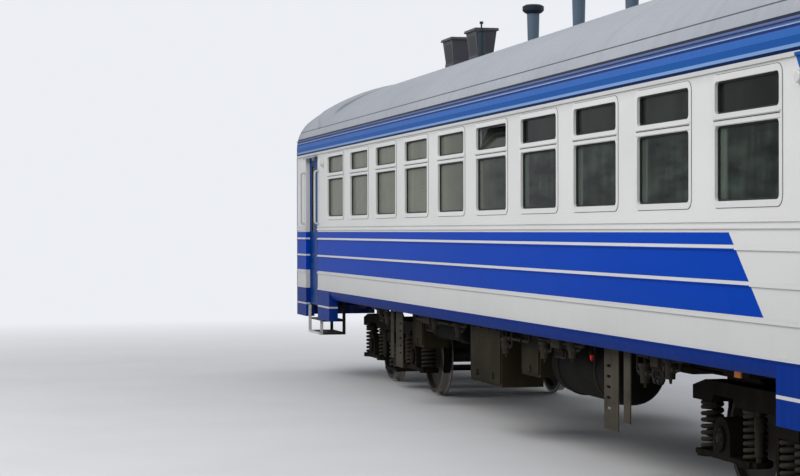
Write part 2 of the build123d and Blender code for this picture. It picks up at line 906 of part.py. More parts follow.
# Grab rails: a bent tube on two foot discs at each edge of every doorway
def grab_rail(side):
    """One rail in the plane X = 0, on the given side of the coach."""
    y_wall = side * (half_width + seat_gap)
    y_tube = side * (half_width + rail_reach)
    rail_low = flange_height + rail_low_height
    rail_high = flange_height + rail_high_height
    with BuildPart() as piece:
        with BuildLine():
            FilletPolyline(
                (0, y_wall, rail_low),
                (0, y_tube, rail_low),
                (0, y_tube, rail_high),
                (0, y_wall, rail_high),
                radius=rail_bend,
            )
        with BuildSketch(Plane(origin=(0, y_wall, rail_low), z_dir=(0, side, 0))):
            Circle(rail_radius)
        sweep()
        with BuildSketch(Plane.XZ.offset(-y_wall)):
            with Locations((0, rail_low), (0, rail_high)):
                Circle(rail_foot_radius)
        extrude(amount=-side * rail_foot_depth)
    return piece.part


rail_shift = doorway_width / 2 + rail_from_doorway
rail_xs = [end * door_centre + edge * rail_shift for end in ends.values() for edge in (-1, 1)]
rail_pair = [grab_rail(side) for side in sides.values()]
with BuildPart() as rails:
    with Locations(*[(x, 0, 0) for x in rail_xs]):
        add(rail_pair)
keep(rails.part, "grab_rails")


# Window frames: a rounded ring with a transom, one for each window
def pane_levels():
    """Middle height of the lower pane and of the vent."""
    low = flange_height + glass_bottom_height + lower_pane_height / 2
    high = flange_height + glass_top_height - vent_height / 2
    return low, high


low_pane_z, vent_z = pane_levels()
with BuildPart() as frames:
    for side in sides.values():
        with BuildSketch(Plane.XZ.offset(-side * (half_width + frame_proud))):
            with Locations(*[(x, glass_middle_z) for x in window_xs]):
                RectangleRounded(frame_outer_width, frame_outer_height, frame_corner - seat_gap)
            with Locations(*[(x, low_pane_z) for x in window_xs]):
                RectangleRounded(glass_width, lower_pane_height, glass_corner, mode=Mode.SUBTRACT)
            with Locations(*[(x, vent_z) for x in window_xs]):
                RectangleRounded(glass_width, vent_height, glass_corner, mode=Mode.SUBTRACT)
        extrude(amount=side * frame_depth)
keep(frames.part, "window_frames")

# Window panes: a lower pane and a vent in each frame; one vent stands open, tilted inwards
pane_width = glass_width - 2 * seat_gap
vent_pane_height = vent_height - 2 * seat_gap
open_vent_x = window_xs[open_vent_index]
with BuildPart() as panes:
    for side_name, side in sides.items():
        y_pane = side * (half_width - glass_inset)
        open_xs = [open_vent_x] if side_name == "right" else []
        shut_xs = [x for x in window_xs if x not in open_xs]
        with BuildSketch(Plane.XZ.offset(-y_pane)):
            with Locations(*[(x, low_pane_z) for x in window_xs]):
                RectangleRounded(pane_width, lower_pane_height - 2 * seat_gap, glass_corner - seat_gap)
            with Locations(*[(x, vent_z) for x in shut_xs]):
                RectangleRounded(pane_width, vent_pane_height, glass_corner - seat_gap)
        extrude(amount=side * glass_thickness)
        for x in open_xs:
            hinge_z = vent_z - vent_pane_height / 2 + glass_thickness
            tilted = Plane(origin=(x, y_pane, hinge_z), x_dir=(1, 0, 0), z_dir=(0, -1, 0))
            with BuildSketch(tilted.rotated((side * open_vent_angle, 0, 0))):
                RectangleRounded(pane_width, vent_pane_height, glass_corner - seat_gap, align=(Align.CENTER, Align.MIN))
            extrude(amount=side * glass_thickness)
keep(panes.part, "window_panes")


# Vestibule partitions with their doorways
with BuildPart() as partitions:
    partition_x = half_body - partition_from_end
    for end in ends.values():
        with BuildSketch(Plane.YZ.offset(end * partition_x)):
            add(body_section(roof_thickness + seat_gap, floor_top))
            with Locations((0, floor_top)):
                Rectangle(
                    2 * half_inside - 2 * seat_gap,
                    crown_z - floor_top,
                    align=(Align.CENTER, Align.MIN),
                    mode=Mode.INTERSECT,
                )
            with Locations((0, floor_top)):
                Rectangle(
                    partition_door_width,
                    flange_height + partition_door_top_height - floor_top,
                    align=(Align.CENTER, Align.MIN),
                    mode=Mode.SUBTRACT,
                )
        extrude(amount=-end * partition_thickness)
keep(partitions.part, "vestibule_partitions")


# Benches: back-to-back pairs at the pillars between windows, single benches at the partitions
def bench_shell(x, way):
    """Side view of one bench that faces way: leaning back and seat with a rounded-off front edge."""
    seat = floor_top + bench_seat_height
    back = floor_top + bench_back_height
    outline = [
        (bench_back_gap / 2, back),
        (bench_back_gap / 2 + bench_board, back),
        (bench_back_gap / 2 + bench_board + bench_lean, seat),
        (bench_depth, seat),
        (bench_depth + bench_board / 2, seat - bench_board / 2),
        (bench_depth, seat - bench_board),
        (bench_back_gap / 2 + bench_lean, seat - bench_board),
    ]
    return [(x + way * u, z) for u, z in outline]


def bench_leg(x, ways):
    """Side view of the pedestal under the benches that face each of ways."""
    top = floor_top + bench_seat_height - bench_board
    reach = bench_depth - bench_leg_inset
    low = -reach if -1 in ways else bench_back_gap / 2 + bench_lean
    high = reach if 1 in ways else -bench_back_gap / 2 - bench_lean
    middle = (low + high) / 2
    return [
        (x + low, floor_top),
        (x + high, floor_top),
        (x + high, floor_top + bench_leg_edge),
        (x + middle + bench_leg_stem, floor_top + bench_leg_foot),
        (x + middle + bench_leg_stem, top - bench_leg_head),
        (x + high, top - bench_leg_edge),
        (x + high, top),
        (x + low, top),
        (x + low, top - bench_leg_edge),
        (x + middle - bench_leg_stem, top - bench_leg_head),
        (x + middle - bench_leg_stem, floor_top + bench_leg_foot),
        (x + low, floor_top + bench_leg_edge),
    ]


bench_row = [((a + b) / 2, (-1, 1)) for a, b in zip(window_xs[:-1], window_xs[1:])]
end_bench_x = half_body - partition_from_end - partition_thickness - seat_gap + bench_back_gap / 2
bench_row += [(-end_bench_x, (1,)), (end_bench_x, (-1,))]
with BuildPart() as benches:
    for side in sides.values():
        y_wall = side * (half_inside - seat_gap)
        with BuildSketch(Plane.XZ.offset(-y_wall)):
            for x, ways in bench_row:
                for way in ways:
                    with BuildLine():
                        Polyline(*bench_shell(x, way), close=True)
                    make_face()
        extrude(amount=side * bench_width)
        for share in bench_leg_shares:
            with BuildSketch(Plane.XZ.offset(-y_wall + side * bench_width * share)):
                for x, ways in bench_row:
                    with BuildLine():
                        Polyline(*bench_leg(x, ways), close=True)
                    make_face()
            extrude(amount=side * bench_board)
keep(benches.part, "benches")


# Luggage racks: two long tubes on brackets over the windows of each side
with BuildPart() as racks:
    rack_z = flange_height + rack_height
    rack_length = window_xs[-1] - window_xs[0] + window_pitch * 0.6
    for side in sides.values():
        for reach in (0.45, 1.0):
            y = side * (half_inside - rack_reach * reach)
            with Locations((0, y, rack_z)):
                Box(rack_length, rack_tube, rack_tube)
        for left_x, right_x in zip(window_xs[:-1], window_xs[1:]):
            x = (left_x + right_x) / 2
            with Locations((x, side * (half_inside - seat_gap), rack_z)):
                Box(
                    rack_tube,
                    rack_reach + rack_tube / 2,
                    rack_tube * 0.8,
                    align=(Align.CENTER, Align.MAX if side > 0 else Align.MIN, Align.CENTER),
                )
keep(racks.part, "luggage_racks")


# Gangway diaphragms: a folded rubber frame round each gangway opening
with BuildPart() as diaphragms:
    opening_bottom = floor_top
    opening_top = flange_height + gangway_top_height
    opening_height = opening_top - opening_bottom
    fold_pitch = diaphragm_length / diaphragm_folds
    for end in ends.values():
        for fold in range(diaphragm_folds):
            x_fold = end * (half_body + fold * fold_pitch)
            for start, share, proud in ((0.0, 0.5, 0.0), (0.5, 0.5, diaphragm_fold_depth)):
                ring = diaphragm_wall - diaphragm_fold_depth + proud
                with BuildSketch(Plane.YZ.offset(x_fold + end * start * fold_pitch)):
                    with Locations((0, opening_bottom - diaphragm_sill)):
                        Rectangle(
                            gangway_width + 2 * ring,
                            opening_height + diaphragm_sill + ring,
                            align=(Align.CENTER, Align.MIN),
                        )
                    with Locations((0, opening_bottom + opening_height / 2)):
                        Rectangle(gangway_width, opening_height, mode=Mode.SUBTRACT)
                extrude(amount=end * share * fold_pitch)
keep(diaphragms.part, "gangway_diaphragms")


# Automatic couplers: a shank, a head with its large and small tooth, and the jaw between them
def coupler(end):
    z_middle = flange_height + coupler_height
    x_plane = end * half_coupled
    x_in = end * (wall_half_length - draft_pocket_depth + seat_gap)
    shank_end = x_plane - end * coupler_shank_set_back
    with BuildPart() as piece:
        with Locations(((x_in + shank_end) / 2, 0, z_middle)):
            Box(abs(shank_end - x_in), coupler_shank_width, coupler_shank_width)
        with BuildSketch(Plane.XY.offset(z_middle - coupler_body_height / 2)):
            with BuildLine():
                Polyline(*[(x_plane + end * reach, end * y) for reach, y in coupler_outline], close=True)
            make_face()
        extrude(amount=coupler_body_height)
        # the small tooth is lower than the guarding side, and the lock stands in the jaw
        tooth_room = (coupler_body_height - coupler_tooth_height) / 2
        for level in (-1, 1):
            with Locations((x_plane, end * coupler_outline[2][1], z_middle + level * coupler_body_height / 2)):
                Box(
                    2 * abs(coupler_outline[1][0]),
                    coupler_outline[2][1],
                    2 * tooth_room,
                    mode=Mode.SUBTRACT,
                )
        with Locations((x_plane + end * coupler_outline[4][0], 0, z_middle)):
            Box(2 * coupler_lock_reach, coupler_lock_width, coupler_lock_height)
    return piece.part


for end_name, end in ends.items():
    keep(coupler(end), f"coupler_{end_name}")


# Wheelset: one turned axle with two wheels, drawn as a half section and revolved about Y
def wheel_profile(side):
    """Half section of a wheel: hub, dished web, rim, coned tread and flange at the back."""
    back = wheel_back_spacing / 2
    front = back + tyre_width
    rim_inner = wheel_radius - 60
    web_middle = back + tyre_width * 0.45
    points = [
        (back - 20, axle_radius - 1),
        (back - 20, hub_radius),
        (web_middle - wheel_web * 0.7, hub_radius + 25),
        (web_middle - wheel_web / 2 + 8, rim_inner - 20),
        (back, rim_inner),
        (back, wheel_radius + flange_height - 8),
        (back + 8, wheel_radius + flange_height),
        (back + flange_thickness * 0.6, wheel_radius + flange_height),
        (back + flange_thickness, wheel_radius + 6),
        (back + flange_thickness + flange_fillet, wheel_radius + 1),
        (front - 8, wheel_radius - 4),
        (front, wheel_radius - 12),
        (front, rim_inner),
        (web_middle + wheel_web / 2 + 8, rim_inner - 20),
        (web_middle + wheel_web * 0.7, hub_radius + 25),
        (back - 20 + hub_length, hub_radius),
        (back - 20 + hub_length, axle_radius - 1),
    ]
    return [(side * y, radius) for y, radius in points]


def wheelset(x_axle):
    with BuildPart() as piece:
        axle_plane = Plane(origin=(x_axle, 0, axle_z), x_dir=(0, 1, 0), z_dir=(1, 0, 0))
        with BuildSketch(axle_plane):
            for side in sides.values():
                with BuildLine():
                    Polyline(*wheel_profile(side), close=True)
                make_face()
            journal_end = journal_centre + journal_length / 2
            shoulder = journal_centre - journal_length / 2 - 20
            with BuildLine():
                Polyline(
                    (-journal_end, 0),
                    (-journal_end, journal_radius),
                    (-shoulder, journal_radius),
                    (-shoulder, axle_radius),
                    (shoulder, axle_radius),
                    (shoulder, journal_radius),
                    (journal_end, journal_radius),
                    (journal_end, 0),
                    close=True,
                )
            make_face()
        revolve(axis=Axis((x_axle, 0, axle_z), (0, 1, 0)))
    return piece.part


for end_name, end in ends.items():
    for axle_name, shift in (("outer", 1), ("inner", -1)):
        x_axle = end * (pivot_x + shift * bogie_wheelbase / 2)
        keep(wheelset(x_axle), f"wheelset_{end_name}_{axle_name}")


# Bogie frame, with its brake blocks and spring plank
brake_y = wheel_back_spacing / 2 + flange_thickness + flange_fillet + brake_block_width / 2


def brake_arc(x_axle, way, thickness):
    """Three points of the brake block's arc round the wheel, thickness outside its working face."""
    radius = wheel_radius + run_gap + thickness
    half_angle = math.radians(brake_block_angle / 2)
    return [
        (x_axle + way * radius * math.cos(turn), axle_z + radius * math.sin(turn))
        for turn in (-half_angle, 0, half_angle)
    ]


def bogie_frame(x_pivot):
    frame_bottom = flange_height + side_frame_bottom_height
    frame_top = flange_height + side_frame_top_height
    half_length = bogie_wheelbase / 2 + side_frame_overhang
    nose_z = frame_bottom + side_frame_nose
    arch_z = frame_bottom + side_frame_arch
    with BuildPart() as piece:
        for side in sides.values():
            with BuildSketch(Plane.XZ.offset(-side * journal_centre - side_frame_width / 2)):
                with BuildLine():
                    Polyline(
                        (x_pivot - half_length, frame_bottom),
                        (x_pivot - half_length, nose_z),
                        (x_pivot - half_length + side_frame_slope, frame_top),
                        (x_pivot + half_length - side_frame_slope, frame_top),
                        (x_pivot + half_length, nose_z),
                        (x_pivot + half_length, frame_bottom),
                        (x_pivot + bogie_wheelbase / 2 + arch_half_foot, frame_bottom),
                        (x_pivot + bogie_wheelbase / 2 + arch_half_top, arch_z),
                        (x_pivot + bogie_wheelbase / 2 - arch_half_top, arch_z),
                        (x_pivot + bogie_wheelbase / 2 - arch_half_foot, frame_bottom),
                        (x_pivot - bogie_wheelbase / 2 + arch_half_foot, frame_bottom),
                        (x_pivot - bogie_wheelbase / 2 + arch_half_top, arch_z),
                        (x_pivot - bogie_wheelbase / 2 - arch_half_top, arch_z),
                        (x_pivot - bogie_wheelbase / 2 - arch_half_foot, frame_bottom),
                        close=True,
                    )
                make_face()
            extrude(amount=side_frame_width)
        for shift in (-1, 1):
            with Locations((x_pivot + shift * transom_centre, 0, frame_bottom)):
                Box(
                    transom_width,
                    2 * journal_centre,
                    frame_top - frame_bottom,
                    align=(Align.CENTER, Align.CENTER, Align.MIN),
                )
            # the spring plank hangs from the transoms by its links
            for side in sides.values():
                with Locations(
                    (
                        x_pivot + shift * (bolster_spring_offset + bolster_spring_radius + link_from_spring),
                        side * journal_centre,
                        flange_height + spring_plank_height,
                    )
                ):
                    Box(
                        link_thickness,
                        link_width,
                        frame_bottom - flange_height - spring_plank_height,
                        align=(Align.CENTER, Align.CENTER, Align.MIN),
                    )
        # a brake block on each side of each wheel, on a hanger from a bracket of the side frame
        for shift in (-1, 1):
            x_axle = x_pivot + shift * bogie_wheelbase / 2
            for side in sides.values():
                with BuildSketch(Plane.XZ.offset(-side * brake_y - brake_block_width / 2)):
                    for way in (-1, 1):
                        with BuildLine():
                            block_low = brake_arc(x_axle, way, 0)
                            block_high = brake_arc(x_axle, way, brake_block_thickness)
                            ThreePointArc(*block_low)
                            Line(block_low[2], block_high[2])
                            ThreePointArc(*block_high)
                            Line(block_high[0], block_low[0])
                        make_face()
                extrude(amount=brake_block_width)
                hanger_x = wheel_radius + run_gap + brake_block_thickness - 10
                with Locations(*[(x_axle + way * hanger_x, side * brake_y, axle_z) for way in (-1, 1)]):
                    Box(
                        hanger_width,
                        hanger_width,
                        frame_bottom + 50 - axle_z,
                        align=(Align.CENTER, Align.CENTER, Align.MIN),
                    )
                bracket_length = journal_centre - brake_y
                with Locations(
                    *[
                        (x_axle + way * hanger_x, side * (brake_y + bracket_length / 2), frame_bottom)
                        for way in (-1, 1)
                    ]
                ):
                    Box(hanger_width, bracket_length, 50, align=(Align.CENTER, Align.CENTER, Align.MIN))
        plank_length = 2 * (bolster_spring_offset + bolster_spring_radius + plank_overhang)
        with Locations((x_pivot, 0, flange_height + spring_plank_height)):
            Box(
                plank_length,
                2 * journal_centre + 2 * bolster_spring_radius,
                spring_plank_thickness,
                align=(Align.CENTER, Align.CENTER, Align.MAX),
            )
    return piece.part


def bogie_bolster(x_pivot):
    bolster_low = flange_height + bogie_bolster_height
    bolster_top = flange_height + bogie_bolster_top_height
    bolster_end_top = flange_height + side_frame_bottom_height - bolster_end_room
    centre_half = journal_centre - side_frame_width / 2 - bolster_side_room
    reach = journal_centre + bolster_spring_radius
    with BuildPart() as piece:
        with BuildSketch(Plane.YZ.offset(x_pivot - bogie_bolster_width / 2)):
            with BuildLine():
                Polyline(
                    (-reach, bolster_low),
                    (reach, bolster_low),
                    (reach, bolster_end_top),
                    (centre_half, bolster_end_top),
                    (centre_half - bolster_slope, bolster_top - bolster_slope_drop),
                    (bolster_flat, bolster_top),
                    (-bolster_flat, bolster_top),
                    (-centre_half + bolster_slope, bolster_top - bolster_slope_drop),
                    (-centre_half, bolster_end_top),
                    (-reach, bolster_end_top),
                    close=True,
                )
            make_face()
        extrude(amount=bogie_bolster_width)
        with Locations((x_pivot, 0, bolster_top)):
            Cylinder(
                king_pin_radius + shaft_gap,
                king_pin_length + run_gap,
                align=(Align.CENTER, Align.CENTER, Align.MAX),
                mode=Mode.SUBTRACT,
            )
    return piece.part


damper_foot_radius = max(radius for radius, share in damper_stations)
damper_reach = spring_offset + spring_radius + damper_from_spring


def axle_boxes(x_pivot):
    seat_z = flange_height + spring_seat_height
    wing_z = seat_z - spring_seat_thickness
    with BuildPart() as piece:
        for shift in (-1, 1):
            x_axle = x_pivot + shift * bogie_wheelbase / 2
            damper_x = x_axle - shift * damper_reach
            for side in sides.values():
                y_start = journal_centre - axle_box_width / 2
                # a shallow cup under each spring and a bracket for the damper's foot
                with Locations(*[(x_axle + way * spring_offset, side * journal_centre, seat_z) for way in (-1, 1)]):
                    Cylinder(
                        spring_cup_radius,
                        spring_cup_depth,
                        align=(Align.CENTER, Align.CENTER, Align.MAX),
                    )
                with Locations((damper_x, side * (journal_centre + damper_y_shift), seat_z)):
                    Box(
                        2 * damper_foot_radius,
                        2 * damper_foot_radius,
                        spring_seat_thickness,
                        align=(Align.CENTER, Align.CENTER, Align.MAX),
                    )
                box_plane = Plane.XZ.offset(-side * y_start)
                with BuildSketch(box_plane):
                    with Locations((x_axle, axle_z)):
                        Circle(axle_box_radius)
                    with Locations((x_axle, wing_z)):
                        Rectangle(
                            2 * (spring_offset + spring_radius),
                            spring_seat_thickness,
                            align=(Align.CENTER, Align.MIN),
                        )
                    with Locations((x_axle, wing_z)):
                        Rectangle(2 * axle_box_radius, axle_z - wing_z, align=(Align.CENTER, Align.MIN))
                extrude(amount=-side * axle_box_width)
                with BuildSketch(Plane.XZ.offset(-side * (y_start + axle_box_width))):
                    with Locations((x_axle, axle_z)):
                        Circle(cover_boss_radius)
                extrude(amount=-side * cover_boss_depth)
                # the journal's bore, closed by the cover at the outer face
                with BuildSketch(box_plane):
                    with Locations((x_axle, axle_z)):
                        Circle(journal_radius + shaft_gap)
                extrude(amount=-side * (axle_box_width - axle_box_cover), mode=Mode.SUBTRACT)
    return piece.part


def bogie_springs(x_pivot):
    """Coil springs: four at each axle-box pair and four under the bolster."""
    seat_z = flange_height + spring_seat_height
    frame_bottom = flange_height + side_frame_bottom_height
    plank_z = flange_height + spring_plank_height
    bolster_low = flange_height + bogie_bolster_height
    with BuildPart() as piece:
        for side in sides.values():
            for shift in (-1, 1):
                for way in (-1, 1):
                    x = x_pivot + shift * bogie_wheelbase / 2 + way * spring_offset
                    with Locations((x, side * journal_centre, seat_z)):
                        Cylinder(
                            spring_radius - coil_gap,
                            frame_bottom - seat_z,
                            align=(Align.CENTER, Align.CENTER, Align.MIN),
                        )
                x = x_pivot + shift * bolster_spring_offset
                with Locations((x, side * journal_centre, plank_z)):
                    Cylinder(
                        bolster_spring_radius - coil_gap,
                        bolster_low - plank_z,
                        align=(Align.CENTER, Align.CENTER, Align.MIN),
                    )
    return piece.part


def bogie_dampers(x_pivot):
    """One upright damper beside the inner spring of each axle box."""
    low = flange_height + spring_seat_height + seat_gap
    travel = flange_height + side_frame_bottom_height - seat_gap - low
    with BuildPart() as piece:
        for shift in (-1, 1):
            x = x_pivot + shift * (bogie_wheelbase / 2 - damper_reach)
            for side in sides.values():
                y = side * (journal_centre + damper_y_shift)
                with BuildSketch(Plane.XZ.offset(-y)):
                    with BuildLine():
                        Polyline(
                            (x, low),
                            *[(x + radius, low + share * travel) for radius, share in damper_stations],
                            (x, low + travel),
                            close=True,
                        )
                    make_face()
                revolve(axis=Axis((x, y, 0), (0, 0, 1)))
    return piece.part


for end_name, end in ends.items():
    x_pivot = end * pivot_x
    keep(bogie_frame(x_pivot), f"bogie_frame_{end_name}")
    keep(bogie_dampers(x_pivot), f"bogie_dampers_{end_name}")
    keep(bogie_bolster(x_pivot), f"bogie_bolster_{end_name}")
    keep(axle_boxes(x_pivot), f"axle_boxes_{end_name}")
    keep(bogie_springs(x_pivot), f"bogie_springs_{end_name}")


# Underfloor cases hung from the cross bearers. Columns: middle and length as shares of the free bay's
# half length, outer Y, depth across the coach, bottom height
case_table = [
    (-0.013, 0.297, -1560.0, 430.0, 520.0),
    (0.32, 0.155, -1480.0, 330.0, 690.0),
    (-0.87, 0.14, -1450.0, 300.0, 700.0),
    (-0.36, 0.39, 1540.0, 620.0, 520.0),
    (0.26, 0.36, 1540.0, 620.0, 540.0),
    (0.75, 0.26, 1500.0, 520.0, 620.0),
]
lid_margin = 60.0
lid_depth = 14.0
with BuildPart() as cases:
    for middle_share, length_share, y_outer, depth, bottom in case_table:
        x = middle_share * bay_half
        length = length_share * bay_half
        height = cross_bearer_bottom_height - seat_gap - bottom
        out = 1 if y_outer > 0 else -1
        with Locations((x, y_outer - out * depth / 2, flange_height + bottom)):
            Box(length, depth, height, align=(Align.CENTER, Align.CENTER, Align.MIN))
        # the lid's pressed panel stands out from the case's outer face
        with BuildSketch(Plane.XZ.offset(-y_outer)):
            with Locations((x, flange_height + bottom + height / 2)):
                RectangleRounded(length - lid_margin, height - lid_margin, lid_margin / 2)
        extrude(amount=-out * lid_depth)
keep(cases.part, "underfloor_cases")

# Air reservoirs under the cross bearers. Columns: middle X and length as shares of the free bay's half
# length, middle Y, radius
tank_table = [
    (-0.575, 0.36, -1290.0, 148.0),
    (0.616, 0.42, -1130.0, 285.0),
    (-0.8, 0.3, 1150.0, 200.0),
]
tank_end_share = 0.42
with BuildPart() as tanks:
    for middle_share, length_share, y, radius in tank_table:
        length = length_share * bay_half
        with BuildSketch(Plane.YZ.offset(middle_share * bay_half - length / 2)):
            with Locations((y, bearer_bottom - seat_gap - radius)):
                Circle(radius)
        extrude(amount=length)
        end_edges = [e for e in tanks.edges().filter_by(GeomType.CIRCLE) if abs(e.radius - radius) < 1]
        fillet(end_edges, radius=tank_end_share * radius)
keep(tanks.part, "air_reservoirs")


# Guard plates beside the bogies' inner ends: a slotted plate and a post, hung under each side sill
guard_top = side_sill_bottom - seat_gap
guard_y = half_inside - side_sill_depth / 2
with BuildPart() as guards:
    for side in sides.values():
        with BuildSketch(Plane.XZ.offset(-side * (guard_y - guard_thickness / 2))):
            for end in ends.values():
                guard_bottom = flange_height + guard_bottom_height
                post_bottom = flange_height + guard_post_bottom_height
                guard_x = end * (bay_half - bay_margin / 2 + guard_length / 2)
                post_x = guard_x + end * (guard_length / 2 + guard_post_gap + guard_post_length / 2)
                with Locations((guard_x, guard_top)):
                    Rectangle(guard_length, guard_top - guard_bottom, align=(Align.CENTER, Align.MAX))
                with Locations((post_x, guard_top)):
                    Rectangle(guard_post_length, guard_top - post_bottom, align=(Align.CENTER, Align.MAX))
                slot_x = guard_x - end * (guard_length - guard_slot_length) / 4
                for slot in range(guard_slot_count):
                    with Locations((slot_x, guard_bottom + (slot + 2) * guard_slot_pitch)):
                        Rectangle(guard_slot_length, guard_slot_height, mode=Mode.SUBTRACT)
        extrude(amount=-side * guard_thickness)
keep(guards.part, "guard_plates")


# Brake gear: the cylinder under the centre sill, a rod to each bogie, and the hangers that carry both
with BuildPart() as brake_gear:
    sill_under = sill_bottom - seat_gap
    rod_z = flange_height + brake_rod_height
    rod_half = bay_half - bay_margin / 2
    with BuildSketch(Plane.YZ.offset(-rod_half)):
        with Locations((0, rod_z)):
            Circle(brake_rod_radius)
    extrude(amount=2 * rod_half)
    with BuildSketch(Plane.YZ.offset(-brake_cylinder_length / 2)):
        with Locations((0, rod_z)):
            Circle(brake_cylinder_radius)
    extrude(amount=brake_cylinder_length)
    hanger_xs = [share * rod_half for share in (-0.9, -0.45, 0, 0.45, 0.9)]
    with Locations(*[(x, 0, rod_z - brake_rod_radius) for x in hanger_xs]):
        Box(
            rod_hanger_width,
            rod_hanger_width,
            sill_under - rod_z + brake_rod_radius,
            align=(Align.CENTER, Align.CENTER, Align.MIN),
        )
keep(brake_gear.part, "brake_gear")


# Train pipes along the bay, seated under the cross bearers
with BuildPart() as train_pipes:
    with BuildSketch(Plane.YZ.offset(-bay_half)):
        with Locations(*[(y, bearer_bottom - seat_gap - train_pipe_radius) for y in train_pipe_ys]):
            Circle(train_pipe_radius)
    extrude(amount=2 * bay_half)
keep(train_pipes.part, "train_pipes")


# Roof ventilators: a tapered pipe with a chamfered cap, in a row along the roof
def turned_post(x, y, stations):
    """Revolve a post about the upright through (x, y) from rows of radius and height above the crown."""
    foot = crown_z + seat_gap
    with BuildPart() as post:
        with BuildSketch(Plane.XZ.offset(-y)):
            with BuildLine():
                Polyline(
                    (x, foot),
                    *[(x + radius, foot + height) for radius, height in stations],
                    (x, foot + stations[-1][1]),
                    close=True,
                )
            make_face()
        revolve(axis=Axis((x, y, 0), (0, 0, 1)))
    return post.part


ventilator_xs = [(i - (ventilator_count - 1) / 2) * ventilator_pitch for i in range(ventilator_count)]
keep(Compound(children=[turned_post(x, 0, ventilator_stations) for x in ventilator_xs]), "roof_ventilators")

# Flues beside the louvred units
flue_xs = [end * (half_body - max(louvre_unit_places) - flue_from_unit) for end in ends.values()]
keep(Compound(children=[turned_post(x, flue_offset, flue_stations) for x in flue_xs]), "roof_flues")


# Louvred roof units: a waisted housing cut to the roof's arch, with an overhanging lid and upright louvres
def louvre_unit(x):
    with BuildPart() as unit:
        for low, high in zip(louvre_unit_stations[:-1], louvre_unit_stations[1:]):
            for height, length, width in (low, high):
                with BuildSketch(Plane.XY.offset(crown_z + height)):
                    with Locations((x, 0)):
                        Rectangle(length, width)
            loft(ruled=True)
        top_height, top_length, top_width = louvre_unit_stations[-1]
        with BuildSketch(Plane.XY.offset(crown_z + top_height)):
            with Locations((x, 0)):
                Rectangle(
                    top_length + 2 * louvre_unit_lid_overhang,
                    top_width + 2 * louvre_unit_lid_overhang,
                )
        extrude(amount=louvre_unit_lid, taper=louvre_unit_lid_slope)
        slot_xs = [x + (i - (louvre_count - 1) / 2) * louvre_pitch for i in range(louvre_count)]
        for side in sides.values():
            with BuildSketch(Plane.XZ.offset(-side * (louvre_unit_stations[1][2] / 2 - louvre_depth))):
                with Locations(*[(slot_x, crown_z + louvre_middle) for slot_x in slot_xs]):
                    Rectangle(louvre_width, louvre_height)
            extrude(amount=-side * top_width / 2, mode=Mode.SUBTRACT)
        with BuildSketch(Plane.YZ.offset(x - top_length)):
            add(body_section(-seat_gap, spring_z - roof_thickness))
        extrude(amount=2 * top_length, mode=Mode.SUBTRACT)
    return unit.part


unit_xs = [end * (half_body - from_end) for end in ends.values() for from_end in louvre_unit_places]
keep(Compound(children=[louvre_unit(x) for x in unit_xs]), "roof_boxes")
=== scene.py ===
import bpy
import bmesh
import json
import math
from mathutils import Matrix, Vector

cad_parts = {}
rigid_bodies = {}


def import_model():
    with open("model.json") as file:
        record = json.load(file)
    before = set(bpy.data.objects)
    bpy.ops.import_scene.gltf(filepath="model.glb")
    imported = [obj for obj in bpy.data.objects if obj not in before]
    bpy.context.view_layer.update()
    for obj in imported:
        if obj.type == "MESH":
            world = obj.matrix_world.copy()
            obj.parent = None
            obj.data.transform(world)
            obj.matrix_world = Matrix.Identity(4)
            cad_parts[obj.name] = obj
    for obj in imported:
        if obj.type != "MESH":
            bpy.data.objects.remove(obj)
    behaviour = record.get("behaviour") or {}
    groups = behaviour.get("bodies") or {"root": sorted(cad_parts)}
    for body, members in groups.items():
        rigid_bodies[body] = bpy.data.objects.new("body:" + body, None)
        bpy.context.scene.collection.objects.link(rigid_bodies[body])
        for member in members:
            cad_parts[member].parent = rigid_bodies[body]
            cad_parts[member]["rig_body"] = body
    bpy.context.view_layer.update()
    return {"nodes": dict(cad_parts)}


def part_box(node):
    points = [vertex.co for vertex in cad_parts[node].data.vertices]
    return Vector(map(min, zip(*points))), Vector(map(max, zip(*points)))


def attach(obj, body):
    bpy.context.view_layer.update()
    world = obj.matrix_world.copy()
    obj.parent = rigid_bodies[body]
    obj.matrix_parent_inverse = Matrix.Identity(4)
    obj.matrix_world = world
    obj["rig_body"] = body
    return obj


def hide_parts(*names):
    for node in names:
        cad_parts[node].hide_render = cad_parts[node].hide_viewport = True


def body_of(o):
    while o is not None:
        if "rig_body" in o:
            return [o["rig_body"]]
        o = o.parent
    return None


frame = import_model()
nodes = frame["nodes"]

# Sizes in metres. Places of pieces are counted from the origin, the paint's heights from the top
# of the rail, which lies rail_z above it.
rail_z = 0.028

# The pale background that the camera, gloss and glass see
backdrop_colour = (0.84, 0.86, 0.90, 1.0)

# Camera: placed and aimed as the reference view was taken
image_width = 800.0
focal_pixels = 1905.9
sensor_width = 36.0
camera_place = (18.63, -6.928, 2.1055)
camera_turn = math.radians(13.4492)
camera_pitch = math.radians(-0.2219)
camera_roll = math.radians(0.1001)


def add_object(name, data):
    obj = bpy.data.objects.new(name, data)
    bpy.context.scene.collection.objects.link(obj)
    return obj


def make_camera():
    data = bpy.data.cameras.new("camera")
    data.sensor_width = sensor_width
    data.lens = focal_pixels / image_width * sensor_width
    data.clip_start = 0.1
    data.clip_end = 500.0
    camera = add_object("camera", data)
    level = math.cos(camera_pitch)
    aim = Vector((
        -math.cos(camera_turn) * level, math.sin(camera_turn) * level, math.sin(camera_pitch)
    ))
    turned = aim.to_track_quat("-Z", "Y").to_matrix().to_4x4()
    camera.matrix_world = (
        Matrix.Translation(camera_place) @ turned @ Matrix.Rotation(-camera_roll, 4, "Z")
    )
    bpy.context.scene.camera = camera


